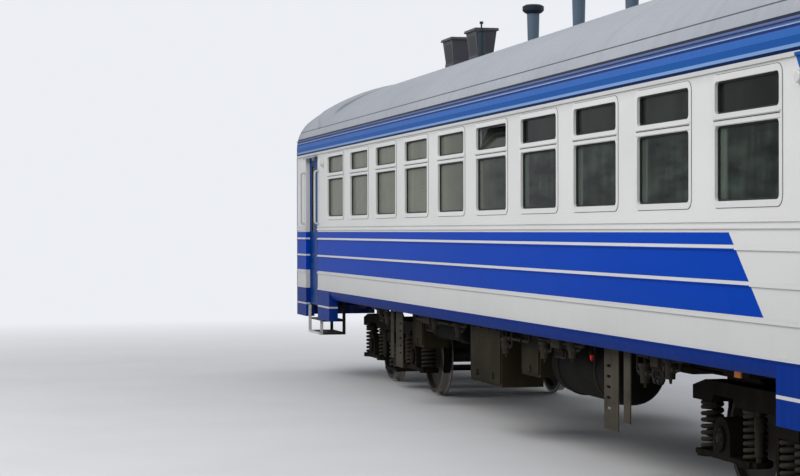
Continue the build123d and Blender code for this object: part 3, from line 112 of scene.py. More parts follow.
# Light: a pale even sky, a large soft lamp on the visible side, weaker ones behind and at the end
def seen_rays(tree):
    """1 for rays of the camera, in gloss and through glass, 0 for those that only light."""
    path = tree.nodes.new("ShaderNodeLightPath")
    seen = path.outputs["Is Camera Ray"]
    for kind in ("Is Transmission Ray", "Is Glossy Ray"):
        either = tree.nodes.new("ShaderNodeMath")
        either.operation = "MAXIMUM"
        tree.links.new(seen, either.inputs[0])
        tree.links.new(path.outputs[kind], either.inputs[1])
        seen = either.outputs[0]
    return seen


def make_world():
    world = bpy.data.worlds.new("sky")
    world.use_nodes = True
    tree = world.node_tree
    tree.nodes.clear()
    mix = tree.nodes.new("ShaderNodeMixShader")
    tree.links.new(seen_rays(tree), mix.inputs[0])
    sky_light = ((0.93, 0.96, 1.0, 1.0), 0.62)
    for place, (colour, strength) in enumerate((sky_light, (backdrop_colour, 1.0)), start=1):
        background = tree.nodes.new("ShaderNodeBackground")
        background.inputs["Color"].default_value = colour
        background.inputs["Strength"].default_value = strength
        tree.links.new(background.outputs[0], mix.inputs[place])
    out = tree.nodes.new("ShaderNodeOutputWorld")
    tree.links.new(mix.outputs[0], out.inputs["Surface"])
    bpy.context.scene.world = world


def make_lamp(name, place, aim_at, size, power, colour):
    data = bpy.data.lights.new(name, "AREA")
    data.shape = "RECTANGLE"
    data.size, data.size_y = size
    data.energy = power
    data.color = colour
    lamp = add_object(name, data)
    lamp.location = place
    lamp.rotation_mode = "QUATERNION"
    lamp.rotation_quaternion = (Vector(aim_at) - Vector(place)).to_track_quat("-Z", "Y")


# Name, place, what it is aimed at, size, power, colour
lamps = (
    ("sky_lamp", (4.0, -16.0, 15.0), (0.0, 0.0, 2.0), (26.0, 12.0), 3300.0, (1.0, 0.99, 0.97)),
    ("back_lamp", (-4.0, 15.0, 12.0), (0.0, 0.0, 2.0), (24.0, 10.0), 1200.0, (0.94, 0.97, 1.0)),
    ("end_lamp", (24.0, -4.0, 9.0), (8.0, 0.0, 2.0), (9.0, 8.0), 600.0, (1.0, 1.0, 1.0)),
)

make_camera()
make_world()
for lamp_row in lamps:
    make_lamp(*lamp_row)


# Places of the windows, doors and running gear, as in the CAD. Panes: middle Z and height
window_pitch = 1.52
window_xs = [(index - 4.5) * window_pitch for index in range(10)]
glass_width = 1.043
low_pane = (2.5615, 0.517)
vent_pane = (3.0155, 0.225)
panes_meet = 2.86
frame_middle = 2.7155
frame_width, frame_height = 1.133, 0.915
pane_face = 1.710
frame_face = 1.746
door_x = 8.57
leaf_window_shift = 0.236
leaf_window_middle = 2.568
leaf_window_width, leaf_window_height = 0.21, 0.98
leaf_inner_face, leaf_outer_face = 1.639, 1.675
gangway_window_z = 2.685
gangway_window_width, gangway_window_height = 0.420, 0.620
pivot_x = 6.15
half_wheelbase = 1.2
axle_z = 0.503
journal_y = 1.018
cover_face = 1.142
side_names = {"right": -1, "left": 1}
end_names = {"far": -1, "near": 1}


# Shader helpers
class Shader:
    """A material's node tree, with short calls for the nodes that repeat."""

    def __init__(self, name):
        self.material = bpy.data.materials.new(name)
        self.material.use_nodes = True
        self.tree = self.material.node_tree
        self.tree.nodes.clear()
        self.surface = self.add("ShaderNodeBsdfPrincipled")
        self.out = self.add("ShaderNodeOutputMaterial")
        self.link(self.surface.outputs[0], self.out.inputs["Surface"])
        self.place = self.add("ShaderNodeTexCoord").outputs["Object"]
        self.axes = None

    def add(self, kind):
        return self.tree.nodes.new(kind)

    def link(self, source, socket):
        self.tree.links.new(source, socket)

    def plug(self, socket, value):
        """value is a plain number or colour, or another node's output."""
        if isinstance(value, bpy.types.NodeSocket):
            self.link(value, socket)
        else:
            socket.default_value = value

    def axis(self, name):
        if self.axes is None:
            self.axes = self.add("ShaderNodeSeparateXYZ")
            self.link(self.place, self.axes.inputs[0])
        return self.axes.outputs[name]

    def math(self, operation, *values):
        node = self.add("ShaderNodeMath")
        node.operation = operation
        for socket, value in zip(node.inputs, values):
            self.plug(socket, value)
        return node.outputs[0]

    def plus(self, first, second):
        return self.math("ADD", first, second)

    def minus(self, first, second):
        return self.math("SUBTRACT", first, second)

    def times(self, first, second):
        return self.math("MULTIPLY", first, second)

    def above(self, value, limit):
        return self.math("GREATER_THAN", value, limit)

    def below(self, value, limit):
        return self.math("LESS_THAN", value, limit)

    def away(self, value, middle=0.0):
        """How far value is from middle, either way."""
        return self.math("ABSOLUTE", self.minus(value, middle) if middle else value)

    def fade(self, value, low, high):
        """0 where value is at low, 1 where it is at high, straight between."""
        node = self.add("ShaderNodeMapRange")
        self.plug(node.inputs["Value"], value)
        node.inputs["From Min"].default_value = low
        node.inputs["From Max"].default_value = high
        return node.outputs[0]

    def noise(self, scale, detail=4.0, stretch=(1.0, 1.0, 1.0)):
        mapping = self.add("ShaderNodeMapping")
        mapping.inputs["Scale"].default_value = stretch
        self.link(self.place, mapping.inputs["Vector"])
        node = self.add("ShaderNodeTexNoise")
        node.inputs["Scale"].default_value = scale
        node.inputs["Detail"].default_value = detail
        node.inputs["Roughness"].default_value = 0.55
        self.link(mapping.outputs[0], node.inputs["Vector"])
        return node.outputs["Fac"]

    def mix(self, share, first, second, blend="MIX"):
        node = self.add("ShaderNodeMix")
        node.data_type = "RGBA"
        node.blend_type = blend
        self.plug(node.inputs["Factor"], share)
        self.plug(node.inputs[6], first)
        self.plug(node.inputs[7], second)
        return node.outputs[2]

    def darken(self, share, tone, shade):
        return self.mix(share, tone, shade, "MULTIPLY")

    def steps(self, value, low, high, stops):
        """Sharp colour bands: stops are (value where the band starts, colour)."""
        ramp = self.add("ShaderNodeValToRGB")
        ramp.color_ramp.interpolation = "CONSTANT"
        elements = ramp.color_ramp.elements
        while len(elements) > 1:
            elements.remove(elements[-1])
        for index, (start, colour) in enumerate(stops):
            share = min(max((start - low) / (high - low), 0.0), 1.0)
            element = elements[0] if index == 0 else elements.new(share)
            element.position = share
            element.color = colour
        self.link(self.fade(value, low, high), ramp.inputs[0])
        return ramp.outputs["Color"]

    def bump(self, height, strength, distance):
        node = self.add("ShaderNodeBump")
        node.inputs["Strength"].default_value = strength
        node.inputs["Distance"].default_value = distance
        self.plug(node.inputs["Height"], height)
        self.link(node.outputs[0], self.surface.inputs["Normal"])

    def set(self, **values):
        for name, value in values.items():
            self.plug(self.surface.inputs[name.replace("_", " ")], value)

    def rough(self, grain, spread, base):
        """Roughness that varies with the grain by spread, from base up."""
        self.set(Roughness=self.plus(self.times(grain, spread), base))


def rgb(red, green, blue):
    return (red, green, blue, 1.0)


def grey(value):
    return rgb(value, value, value)


def scaled(colour, factor):
    return rgb(*[channel * factor for channel in colour[:3]])


# Colours
white_paint = rgb(0.60, 0.60, 0.592)
band_blue = rgb(0.0004, 0.046, 0.38)
skirt_blue = rgb(0.001, 0.030, 0.24)
cantrail_blue = rgb(0.016, 0.095, 0.35)
# Pale blue for the thin line under the lavender and for a painted highlight at the cantrail's
# foot, then the painted shade line below that highlight
pale_line_and_highlight = rgb(0.200, 0.340, 0.62)
cantrail_painted_shade = rgb(0.003, 0.014, 0.075)
cantrail_dark = rgb(0.0008, 0.010, 0.090)
lavender = rgb(0.075, 0.115, 0.265)
gutter_dark = rgb(0.003, 0.007, 0.018)
door_blue = rgb(0.002, 0.030, 0.165)
door_blue_light = rgb(0.003, 0.045, 0.22)
door_dust = rgb(0.012, 0.035, 0.120)
indoor_cream = rgb(0.55, 0.53, 0.45)
roof_grey = rgb(0.33, 0.345, 0.385)
roof_cloud = rgb(0.27, 0.285, 0.32)
roof_streak = rgb(0.22, 0.22, 0.23)
seam_grey = rgb(0.06, 0.065, 0.08)
cap_dark = rgb(0.012, 0.018, 0.026)
dust_colour = rgb(0.16, 0.14, 0.115)
# Dark paint of the gear under the floor, darkened further with painted shade of the body's shadow
shaded_gear_brown = rgb(0.0060, 0.0052, 0.0040)
gear_dust = rgb(0.014, 0.0125, 0.009)
rust_colour = rgb(0.032, 0.014, 0.007)
# Glass: the soft tone below the vents and the far tone are painted reflection
glass_deep = rgb(0.002, 0.004, 0.003)
glass_soft = rgb(0.030, 0.044, 0.034)
glass_vent = rgb(0.018, 0.024, 0.018)
glass_strip = rgb(0.105, 0.132, 0.110)
far_reflection_tone = rgb(0.20, 0.205, 0.155)
web_dark = rgb(0.010, 0.008, 0.006)
web_dust = rgb(0.022, 0.015, 0.010)
tread_steel = rgb(0.24, 0.23, 0.21)
step_white = rgb(0.52, 0.52, 0.50)
step_worn = rgb(0.13, 0.12, 0.10)
lamp_base = rgb(0.52, 0.52, 0.51)
# Lens tones along the ribs: painted shade and painted highlight
rib_shade_tone = rgb(0.46, 0.46, 0.44)
rib_highlight_tone = rgb(0.58, 0.58, 0.56)
floor_light = rgb(0.60, 0.60, 0.61)
floor_dark = rgb(0.56, 0.56, 0.57)

# Heights of the paint's edges above the rail
paint_low, paint_high = 0.5, 3.6
apron_line = 1.005
skirt_edge = 1.227
band_bottom, band_top = 1.468, 2.058
rib_half = 0.013
rib_levels = (1.48, 1.715, 1.955)
# The cantrail's foot: painted shade from cantrail_foot, painted highlight between the next two
# heights
cantrail_foot = 3.190
highlight_foot, highlight_top = 3.222, 3.244
cantrail_top = 3.353
thin_line, thin_line_top = 3.373, 3.380
gutter_level, gutter_top = 3.424, 3.448
roof_seam, roof_seam_half = 3.552, 0.006

# The walls' inner face: within this Y and above this height
indoor_y, indoor_foot = 1.622, 1.33

# The band's slanted end: X at its top and foot, and where the plain stretch beyond it ends
slant_top_x, slant_foot_x, plain_end_x = 6.55, 7.15, 8.10

# Blue corner before the near doorway: X at its top and foot, where it ends, its foot and top
patch_top_x, patch_foot_x, patch_end_x = 7.60, 8.08, 8.14
patch_foot, patch_top = 2.40, 3.168

# Where each band of the side's paint starts
skirt_stops = [
    (paint_low, skirt_blue),
    (apron_line - rib_half, white_paint),
    (apron_line + rib_half, skirt_blue),
    (skirt_edge, white_paint),
]
band_stops = [
    (rib_levels[0] + rib_half, band_blue),
    (rib_levels[1] - rib_half, white_paint),
    (rib_levels[1] + rib_half, band_blue),
    (rib_levels[2] - rib_half, white_paint),
    (rib_levels[2] + rib_half, band_blue),
    (band_top, white_paint),
]
# At the cantrail's foot a dark line of painted shade, as under a moulding, then a light strip of
# painted highlight, then the blue
cantrail_stops = [
    (cantrail_foot, cantrail_painted_shade),
    (highlight_foot, pale_line_and_highlight),
    (highlight_top, cantrail_blue),
]
eave_stops = [
    (cantrail_top, cantrail_dark),
    (thin_line, pale_line_and_highlight),
    (thin_line_top, lavender),
    (gutter_level, gutter_dark),
]


# Materials
def painted(name, colour, roughness=0.32, dust=0.25, metallic=0.0, cap_z=None):
    """Paint with a soft change of tone, a fine orange peel and dust that thickens downwards.

    Above cap_z, where it is given, the paint is dark.
    """
    s = Shader(name)
    cloud = s.noise(0.9, 5.0, (0.5, 1.0, 1.4))
    fine = s.noise(22.0, 3.0)
    streak = s.noise(3.2, 3.0, (4.0, 4.0, 0.22))
    tone = s.mix(s.fade(cloud, 0.3, 0.75), colour, scaled(colour, 0.86))
    low = s.fade(s.axis("Z"), 1.7, 0.7)
    dirt = s.times(s.plus(s.times(low, 0.7), 0.15), s.fade(streak, 0.35, 0.8))
    tone = s.mix(s.times(dirt, dust), tone, dust_colour)
    if cap_z is not None:
        tone = s.mix(s.above(s.axis("Z"), cap_z), tone, cap_dark)
    s.set(Base_Color=tone, Metallic=metallic, Specular_IOR_Level=0.12)
    s.rough(fine, 0.12, roughness)
    s.bump(fine, 0.05, 0.002)
    return s.material


def livery(name):
    """The side's paint: light body, blue band with pale ribs, blue skirt and cantrail."""
    s = Shader(name)
    x = s.axis("X")
    height = s.minus(s.axis("Z"), rail_z)
    high_stops = cantrail_stops + eave_stops
    banded = s.steps(height, paint_low, paint_high, skirt_stops + band_stops + high_stops)
    plain = s.steps(height, paint_low, paint_high, skirt_stops + high_stops)

    # The band ends in a slant; beyond it the side is plain up to the near doorway
    up_band = s.fade(height, band_bottom, band_top)
    slant = s.math("MULTIPLY_ADD", up_band, slant_top_x - slant_foot_x, slant_foot_x)
    past = s.times(s.above(x, slant), s.below(x, plain_end_x))
    tone = s.mix(past, banded, plain)

    # Blue corner before the near doorway
    up_patch = s.fade(height, patch_foot, patch_top)
    patch_edge = s.math("MULTIPLY_ADD", up_patch, patch_top_x - patch_foot_x, patch_foot_x)
    patch = s.times(s.above(x, patch_edge), s.below(x, patch_end_x))
    patch = s.times(patch, s.above(height, patch_foot))
    patch = s.times(patch, s.below(height, cantrail_foot))
    tone = s.mix(patch, tone, cantrail_blue)

    # Clouds, shade under the roof's edge and low down, dust
    cloud = s.noise(0.7, 5.0, (0.6, 1.0, 1.5))
    fine = s.noise(26.0, 3.0)
    streak = s.noise(2.6, 4.0, (5.0, 5.0, 0.2))
    tone = s.darken(s.times(s.fade(cloud, 0.35, 0.8), 0.5), tone, grey(0.84))
    tone = s.darken(s.times(s.fade(height, 3.09, 3.17), 0.8), tone, grey(0.80))
    tone = s.darken(s.times(s.fade(height, 2.1, 1.1), 0.7), tone, rgb(0.70, 0.70, 0.71))
    low = s.fade(height, 1.75, 0.9)
    dirt = s.times(s.plus(s.times(low, 0.07), 0.004), s.fade(streak, 0.35, 0.85))
    tone = s.mix(dirt, tone, dust_colour)

    indoors = s.times(s.below(s.away(s.axis("Y")), indoor_y), s.above(height, indoor_foot))
    tone = s.mix(indoors, tone, indoor_cream)
    s.set(Base_Color=tone, Specular_IOR_Level=0.006)
    s.rough(fine, 0.10, 0.26)
    panel = s.noise(1.1, 2.0, (0.8, 1.0, 1.6))
    s.bump(s.plus(s.times(fine, 0.02), panel), 0.10, 0.012)
    return s.material


def roof_paint(name):
    """Grey roof with clouds, streaks across it, a seam and the painted edge over the sides."""
    s = Shader(name)
    height = s.minus(s.axis("Z"), rail_z)
    cloud = s.noise(0.8, 6.0, (0.5, 1.6, 1.0))
    fine = s.noise(18.0, 4.0)
    streak = s.noise(2.2, 4.0, (4.0, 0.3, 0.3))
    tone = s.mix(s.fade(cloud, 0.3, 0.8), roof_grey, roof_cloud)
    tone = s.mix(s.times(s.fade(streak, 0.45, 0.85), 0.35), tone, roof_streak)
    tone = s.mix(s.below(s.away(height, roof_seam), roof_seam_half), tone, seam_grey)
    edge_low = 3.2
    edge = s.steps(height, edge_low, paint_high, [(edge_low, cantrail_blue)] + eave_stops)
    tone = s.mix(s.below(height, gutter_top), tone, edge)
    s.set(Base_Color=tone, Specular_IOR_Level=0.10)
    s.rough(fine, 0.2, 0.42)
    s.bump(fine, 0.10, 0.004)
    return s.material


def grimy(name, colour, metallic=0.0, roughness=0.66, rust=0.35, dust=0.4):
    """Running gear: dark paint under road dust, with rust in patches. The darkest colours given
    carry painted shade as well.
    """
    s = Shader(name)
    patch = s.noise(3.5, 6.0)
    fine = s.noise(38.0, 5.0)
    dusty = s.noise(1.4, 4.0, (1.0, 1.0, 2.0))
    tone = s.mix(s.fade(patch, 0.35, 0.75), colour, scaled(colour, 1.9))
    tone = s.mix(s.times(s.fade(patch, 0.55, 0.7), rust), tone, rust_colour)
    tone = s.mix(s.times(s.fade(dusty, 0.35, 0.8), dust), tone, gear_dust)
    s.set(Base_Color=tone, Metallic=metallic, Specular_IOR_Level=0.03)
    s.rough(fine, 0.25, roughness)
    s.bump(fine, 0.25, 0.003)
    return s.material


def glass(name):
    """Dark greenish glass: darkest in the vents, with a soft painted reflection below and a paler
    painted reflection in the far half.
    """
    s = Shader(name)
    x = s.axis("X")
    cloud = s.noise(1.2, 3.0, (1.0, 1.0, 0.5))
    wave = s.noise(2.4, 3.0, (0.7, 1.0, 3.4))
    column = s.noise(2.4, 3.0, (3.2, 1.0, 0.5))
    # A soft upright pattern below the vents: painted reflection
    soft_reflection = s.times(s.fade(wave, 0.36, 0.66), s.plus(0.35, s.fade(column, 0.35, 0.65)))
    soft = s.mix(soft_reflection, glass_deep, glass_soft)
    vent = s.mix(s.fade(cloud, 0.35, 0.65), glass_deep, glass_vent)

    # A paler upright strip near one edge of each lower pane, where the curtain hangs
    strip_middle, strip_core, strip_reach = 0.310, 0.040, 0.085
    along = s.math("FLOORED_MODULO", x, window_pitch)
    strip = s.fade(s.away(along, strip_middle), strip_reach, strip_core)
    strip = s.times(strip, s.plus(s.times(s.fade(column, 0.3, 0.7), 0.5), 0.4))
    soft = s.mix(strip, soft, glass_strip)
    tone = s.mix(s.below(s.axis("Z"), panes_meet), vent, soft)

    # The windows of the far half are paler: a painted reflection, set by place
    reflection_from, reflection_to = 0.9, -1.4
    pale = s.math("MULTIPLY_ADD", s.fade(cloud, 0.3, 0.7), 0.25, 0.50)
    tone = s.mix(s.times(s.fade(x, reflection_from, reflection_to), pale), tone, far_reflection_tone)
    s.set(Base_Color=tone, Metallic=0.0, IOR=1.45, Specular_IOR_Level=0.035, Alpha=0.82)
    s.rough(cloud, 0.05, 0.04)
    return s.material


def wheel_steel(name):
    """Bright tread, dark dusty web: told apart by the distance from the nearest axle."""
    web_radius = 0.464
    s = Shader(name)
    x = s.away(s.axis("X"))
    to_axles = [s.away(x, pivot_x + shift) for shift in (half_wheelbase, -half_wheelbase)]
    nearest = s.math("MINIMUM", *to_axles)
    z = s.minus(s.axis("Z"), axle_z)
    radius = s.math("SQRT", s.plus(s.times(nearest, nearest), s.times(z, z)))
    tread = s.above(radius, web_radius)
    fine = s.noise(40.0, 4.0)
    patch = s.noise(5.0, 5.0)
    web = s.mix(s.fade(patch, 0.35, 0.75), web_dark, web_dust)
    s.set(Base_Color=s.mix(tread, web, tread_steel), Metallic=s.times(tread, 0.9))
    s.set(Roughness=s.minus(s.plus(0.66, s.times(fine, 0.2)), s.times(tread, 0.4)))
    s.bump(fine, 0.15, 0.002)
    return s.material


def door_leaf_paint(name):
    """Deep blue gloss on the leaves, with a soft change of tone and dust low down."""
    s = Shader(name)
    cloud = s.noise(1.6, 4.0, (1.0, 1.0, 0.5))
    fine = s.noise(24.0, 3.0)
    tone = s.mix(s.fade(cloud, 0.3, 0.75), door_blue, door_blue_light)
    low = s.fade(s.axis("Z"), 1.9, 1.0)
    tone = s.mix(s.times(low, s.fade(cloud, 0.3, 0.9)), tone, door_dust)
    s.set(Base_Color=tone, Specular_IOR_Level=0.02)
    s.rough(fine, 0.14, 0.28)
    s.bump(fine, 0.05, 0.002)
    return s.material


def step_iron(name):
    """Dusty dark steps with worn white outer edges; their dark is partly painted shade."""
    edge_from = 1.664
    s = Shader(name)
    fine = s.noise(30.0, 5.0)
    patch = s.noise(6.0, 5.0)
    dark = s.mix(s.fade(patch, 0.35, 0.7), shaded_gear_brown, gear_dust)
    worn = s.mix(s.fade(patch, 0.5, 0.72), step_white, step_worn)
    outer_edge = s.above(s.away(s.axis("Y")), edge_from)
    s.set(Base_Color=s.mix(outer_edge, dark, worn))
    s.rough(fine, 0.25, 0.5)
    s.bump(fine, 0.2, 0.003)
    return s.material


def lamp_glass(name):
    """Side lamps: a pale ribbed lens on a grey base, with painted highlight and shade along the
    ribs.
    """
    lens_from, rib_scale = 1.757, 60.0
    s = Shader(name)
    lens = s.above(s.away(s.axis("Y")), lens_from)
    waves = s.add("ShaderNodeTexWave")
    waves.inputs["Scale"].default_value = rib_scale
    s.link(s.place, waves.inputs["Vector"])
    ribs = waves.outputs["Fac"]
    s.set(Base_Color=s.mix(lens, lamp_base, s.mix(ribs, rib_shade_tone, rib_highlight_tone)))
    s.set(Roughness=s.minus(0.5, s.times(lens, 0.3)))
    s.bump(ribs, 0.3, 0.002)
    return s.material


side_livery = livery("side_livery")
door_paint = door_leaf_paint("door_paint")
end_paint = painted("end_paint", rgb(0.001, 0.014, 0.125), 0.34, 0.35)
roof = roof_paint("roof_paint")
frame_white = painted("frame_white", white_paint, 0.30, 0.12)
rail_white = painted("rail_white", rgb(0.50, 0.51, 0.50), 0.34, 0.2)
visor_grey = painted("visor_grey", rgb(0.30, 0.34, 0.40), 0.42, 0.3)
# Under the floor the gear, cases and reservoirs are darker than their paint: painted shade of the
# body's shadow over them
gear = grimy("gear_paint", shaded_gear_brown)
light_gear = grimy("light_gear", rgb(0.022, 0.020, 0.016), 0.0, 0.7, 0.25, 0.4)
guard_paint = grimy("guard_paint", rgb(0.038, 0.034, 0.027), 0.0, 0.7, 0.15, 0.5)
brake_iron = grimy("brake_iron", rgb(0.011, 0.009, 0.007), 0.2, 0.6, 0.5)
pipe_paint = grimy("pipe_paint", rgb(0.014, 0.013, 0.011), 0.1, 0.5, 0.25)
case_paint = grimy("case_paint", rgb(0.013, 0.011, 0.006), 0.0, 0.55, 0.12, 0.25)
tank_paint = grimy("tank_paint", rgb(0.0045, 0.0045, 0.0040), 0.0, 0.6, 0.12)
spring_steel = grimy("spring_steel", rgb(0.026, 0.023, 0.018), 0.2, 0.5, 0.3, 0.5)
iron = grimy("coupler_iron", rgb(0.016, 0.013, 0.010), 0.3, 0.6, 0.45)
step_paint = step_iron("step_paint")
rubber = painted("diaphragm_rubber", rgb(0.014, 0.016, 0.022), 0.7, 0.5)
gasket_rubber = painted("gasket_rubber", rgb(0.020, 0.021, 0.022), 0.6, 0.1)
cream = painted("interior_panel", rgb(0.42, 0.38, 0.28), 0.4, 0.05)
bench_wood = painted("bench_wood", rgb(0.16, 0.080, 0.032), 0.35, 0.05)
rack = painted("rack_metal", grey(0.50), 0.3, 0.1, metallic=0.9)
vent_blue = painted("vent_blue", rgb(0.085, 0.118, 0.160), 0.45, 0.0, cap_z=4.72)
box_grey = painted("roof_box_grey", rgb(0.062, 0.064, 0.072), 0.5, 0.0)
flue_dark = painted("flue_dark", rgb(0.024, 0.036, 0.048), 0.5, 0.3)
porcelain = painted("porcelain", rgb(0.060, 0.052, 0.045), 0.22, 0.0)
curtain_cloth = painted("curtain_cloth", rgb(0.36, 0.36, 0.31), 0.85, 0.1)
lamp_lens = lamp_glass("lamp_lens")
red_lens = painted("red_lens", rgb(0.55, 0.010, 0.008), 0.15, 0.0)
amber_paint = painted("amber_tag", rgb(0.50, 0.17, 0.020), 0.5, 0.3)
pane = glass("window_glass")
wheel = wheel_steel("wheel_steel")

node_materials = {
    "side_wall_right": side_livery, "side_wall_left": side_livery, "roof_shell": roof,
    "end_wall_far": end_paint, "end_wall_near": end_paint, "underframe": gear,
    "entry_steps": step_paint, "window_frames": frame_white, "window_panes": pane,
    "vestibule_partitions": cream, "benches": bench_wood, "luggage_racks": rack,
    "gangway_diaphragms": rubber, "coupler_far": iron, "coupler_near": iron,
    "underfloor_cases": case_paint, "air_reservoirs": tank_paint, "guard_plates": guard_paint,
    "brake_gear": brake_iron, "train_pipes": pipe_paint, "roof_ventilators": vent_blue,
    "roof_boxes": box_grey, "roof_flues": flue_dark, "door_visors": visor_grey,
    "side_lamps": lamp_lens, "grab_rails": rail_white,
}
for end in end_names:
    node_materials[f"gangway_door_{end}"] = door_paint
    node_materials[f"bogie_dampers_{end}"] = light_gear
    for axle in ("outer", "inner"):
        node_materials[f"wheelset_{end}_{axle}"] = wheel
    for kind in ("bogie_frame", "bogie_bolster", "bogie_springs", "axle_boxes"):
        node_materials[f"{kind}_{end}"] = gear
    for side in side_names:
        for leaf in "ab":
            node_materials[f"door_{end}_{side}_{leaf}"] = door_paint


def smooth_by_angle(obj, angle=35.0):
    obj.data.shade_smooth()
    obj.data.set_sharp_from_angle(angle=math.radians(angle))


for name, material in node_materials.items():
    slots = nodes[name].data.materials
    slots.clear()
    slots.append(material)
for obj in nodes.values():
    smooth_by_angle(obj)


# Mesh pieces that the CAD leaves to this script
def rounded_loop(width, height, corner, steps=5):
    """Points round a rectangle with round corners, in its own plane."""
    points = []
    for across, up, start in ((1, 1, 0), (-1, 1, 90), (-1, -1, 180), (1, -1, 270)):
        for step in range(steps + 1):
            angle = math.radians(start + 90 * step / steps)
            points.append((
                across * (width / 2 - corner) + corner * math.cos(angle),
                up * (height / 2 - corner) + corner * math.sin(angle),
            ))
    return points


class Form:
    """A piece built up from boxes, rods, tubes, rings and panes, then handed to a body."""

    def __init__(self):
        self.mesh = bmesh.new()
        self.boxes = []

    def box(self, centre, size, edge=0.003):
        self.boxes.append((centre, size, edge))

    def add_box(self, centre, size, edge):
        made = bmesh.ops.create_cube(self.mesh, size=1.0)["verts"]
        place = Matrix.Translation(centre) @ Matrix.Diagonal((*size, 1.0))
        bmesh.ops.transform(self.mesh, matrix=place, verts=made)
        edges = list(dict.fromkeys(line for vert in made for line in vert.link_edges))
        bmesh.ops.bevel(
            self.mesh, geom=edges, offset=edge, segments=2, profile=0.7, affect="EDGES"
        )

    def rod(self, start, end, radius, sides=14, end_radius=None):
        start, end = Vector(start), Vector(end)
        span = end - start
        made = bmesh.ops.create_cone(
            self.mesh, cap_ends=True, segments=sides, radius1=radius,
            radius2=radius if end_radius is None else end_radius, depth=span.length,
        )["verts"]
        turn = span.to_track_quat("Z", "Y").to_matrix().to_4x4()
        place = Matrix.Translation((start + end) / 2) @ turn
        bmesh.ops.transform(self.mesh, matrix=place, verts=made)

    def tube(self, points, radius, sides=8):
        """A round bar along points, closed at both ends."""
        points = [Vector(point) for point in points]
        last = len(points) - 1
        across = None
        rings = []
        for index, point in enumerate(points):
            along = (points[min(index + 1, last)] - points[max(index - 1, 0)]).normalized()
            if across is None:
                across = along.orthogonal()
            across = (across - along * across.dot(along)).normalized()
            up = along.cross(across)
            rings.append([
                self.mesh.verts.new(
                    point + radius * (across * math.cos(turn) + up * math.sin(turn))
                )
                for turn in (math.tau * side / sides for side in range(sides))
            ])
        for first, second in zip(rings, rings[1:]):
            self.bridge(first, second)
        self.mesh.faces.new(list(reversed(rings[0])))
        self.mesh.faces.new(rings[-1])

    def bridge(self, first, second):
        """Faces between two closed loops of as many points."""
        count = len(first)
        for index in range(count):
            after = (index + 1) % count
            self.mesh.faces.new((first[index], first[after], second[after], second[index]))

    def loop(self, centre, out, size):
        """A rounded rectangle in the plane of a side wall, out along Y from centre."""
        return [
            self.mesh.verts.new((centre[0] + x, centre[1] + out, centre[2] + z))
            for x, z in rounded_loop(*size)
        ]

    def ring(self, centre, way, width, height, corner, bar, depth):
        """A flat rounded ring on a side wall, from centre's y outwards; way is -1 or 1."""
        outer = (width, height, corner)
        inner = (width - 2 * bar, height - 2 * bar, max(corner - bar, 0.002))
        corners = ((outer, 0), (outer, 1), (inner, 1), (inner, 0))
        loops = [self.loop(centre, way * depth * out, size) for size, out in corners]
        for first, second in zip(loops, loops[1:] + loops[:1]):
            self.bridge(first, second)

    def pane(self, centre, way, width, height, corner, thickness):
        """A flat rounded plate on a side wall."""
        size = (width, height, corner)
        first, second = [self.loop(centre, way * thickness * out, size) for out in (0, 1)]
        self.mesh.faces.new(first)
        self.mesh.faces.new(second)
        self.bridge(first, second)

    def piece(self, name, body, material, angle=35.0):
        # Boxes come last: what is made after a bevel has another order of faces in each run
        for box in self.boxes:
            self.add_box(*box)
        bmesh.ops.recalc_face_normals(self.mesh, faces=self.mesh.faces)
        data = bpy.data.meshes.new(name)
        self.mesh.to_mesh(data)
        self.mesh.free()
        data.materials.append(material)
        obj = add_object(name, data)
        smooth_by_angle(obj, angle)
        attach(obj, body)
        return obj


def bent(corners, radius, steps=5):
    """Points along straight runs with an arc at each inner corner."""
    corners = [Vector(corner) for corner in corners]
    points = [corners[0]]
    for before, corner, after in zip(corners, corners[1:], corners[2:]):
        back = (before - corner).normalized()
        ahead = (after - corner).normalized()
        cut = radius / math.tan(back.angle(ahead) / 2)
        start, end = corner + back * cut, corner + ahead * cut
        for step in range(steps + 1):
            share = step / steps
            rest = 1 - share
            points.append(start * rest ** 2 + corner * 2 * share * rest + end * share ** 2)
    points.append(corners[-1])
    return points


def coil(x, y, low, high, radius, turns, steps):
    """The middle line of a coil spring: flat end turns and an even pitch between them."""
    end_turn = 0.6
    points = []
    for step in range(int(turns * steps) + 1):
        turn = step / steps
        rise = min(max((turn - end_turn) / (turns - 2 * end_turn), 0.0), 1.0)
        angle = math.tau * turn
        points.append((
            x + radius * math.cos(angle), y + radius * math.sin(angle), low + (high - low) * rise
        ))
    return points


def meet_z(node, x, y, start_z, way):
    """Z where a line from start_z, up or down, first meets a node; None where it does not."""
    found, hit, _, _ = nodes[node].ray_cast((x, y, start_z), (0, 0, way))
    return hit.z if found else None


# Window rubbers: a dark line round each glass and a finer one round each frame
def make_window_rubbers():
    corner, bar, depth = 0.035, 0.014, 0.014
    line_y, line_room = 1.7395, 0.008
    line_corner, line_bar, line_depth = 0.079, 0.004, 0.002
    form = Form()
    for way in side_names.values():
        for x in window_xs:
            for middle, height in (low_pane, vent_pane):
                place = (x, way * pane_face, middle)
                form.ring(place, way, glass_width, height, corner, bar, depth)
            form.ring(
                (x, way * line_y, frame_middle), way, frame_width + line_room,
                frame_height + line_room, line_corner, line_bar, line_depth,
            )
    form.piece("window_rubbers", "coach_body", gasket_rubber)


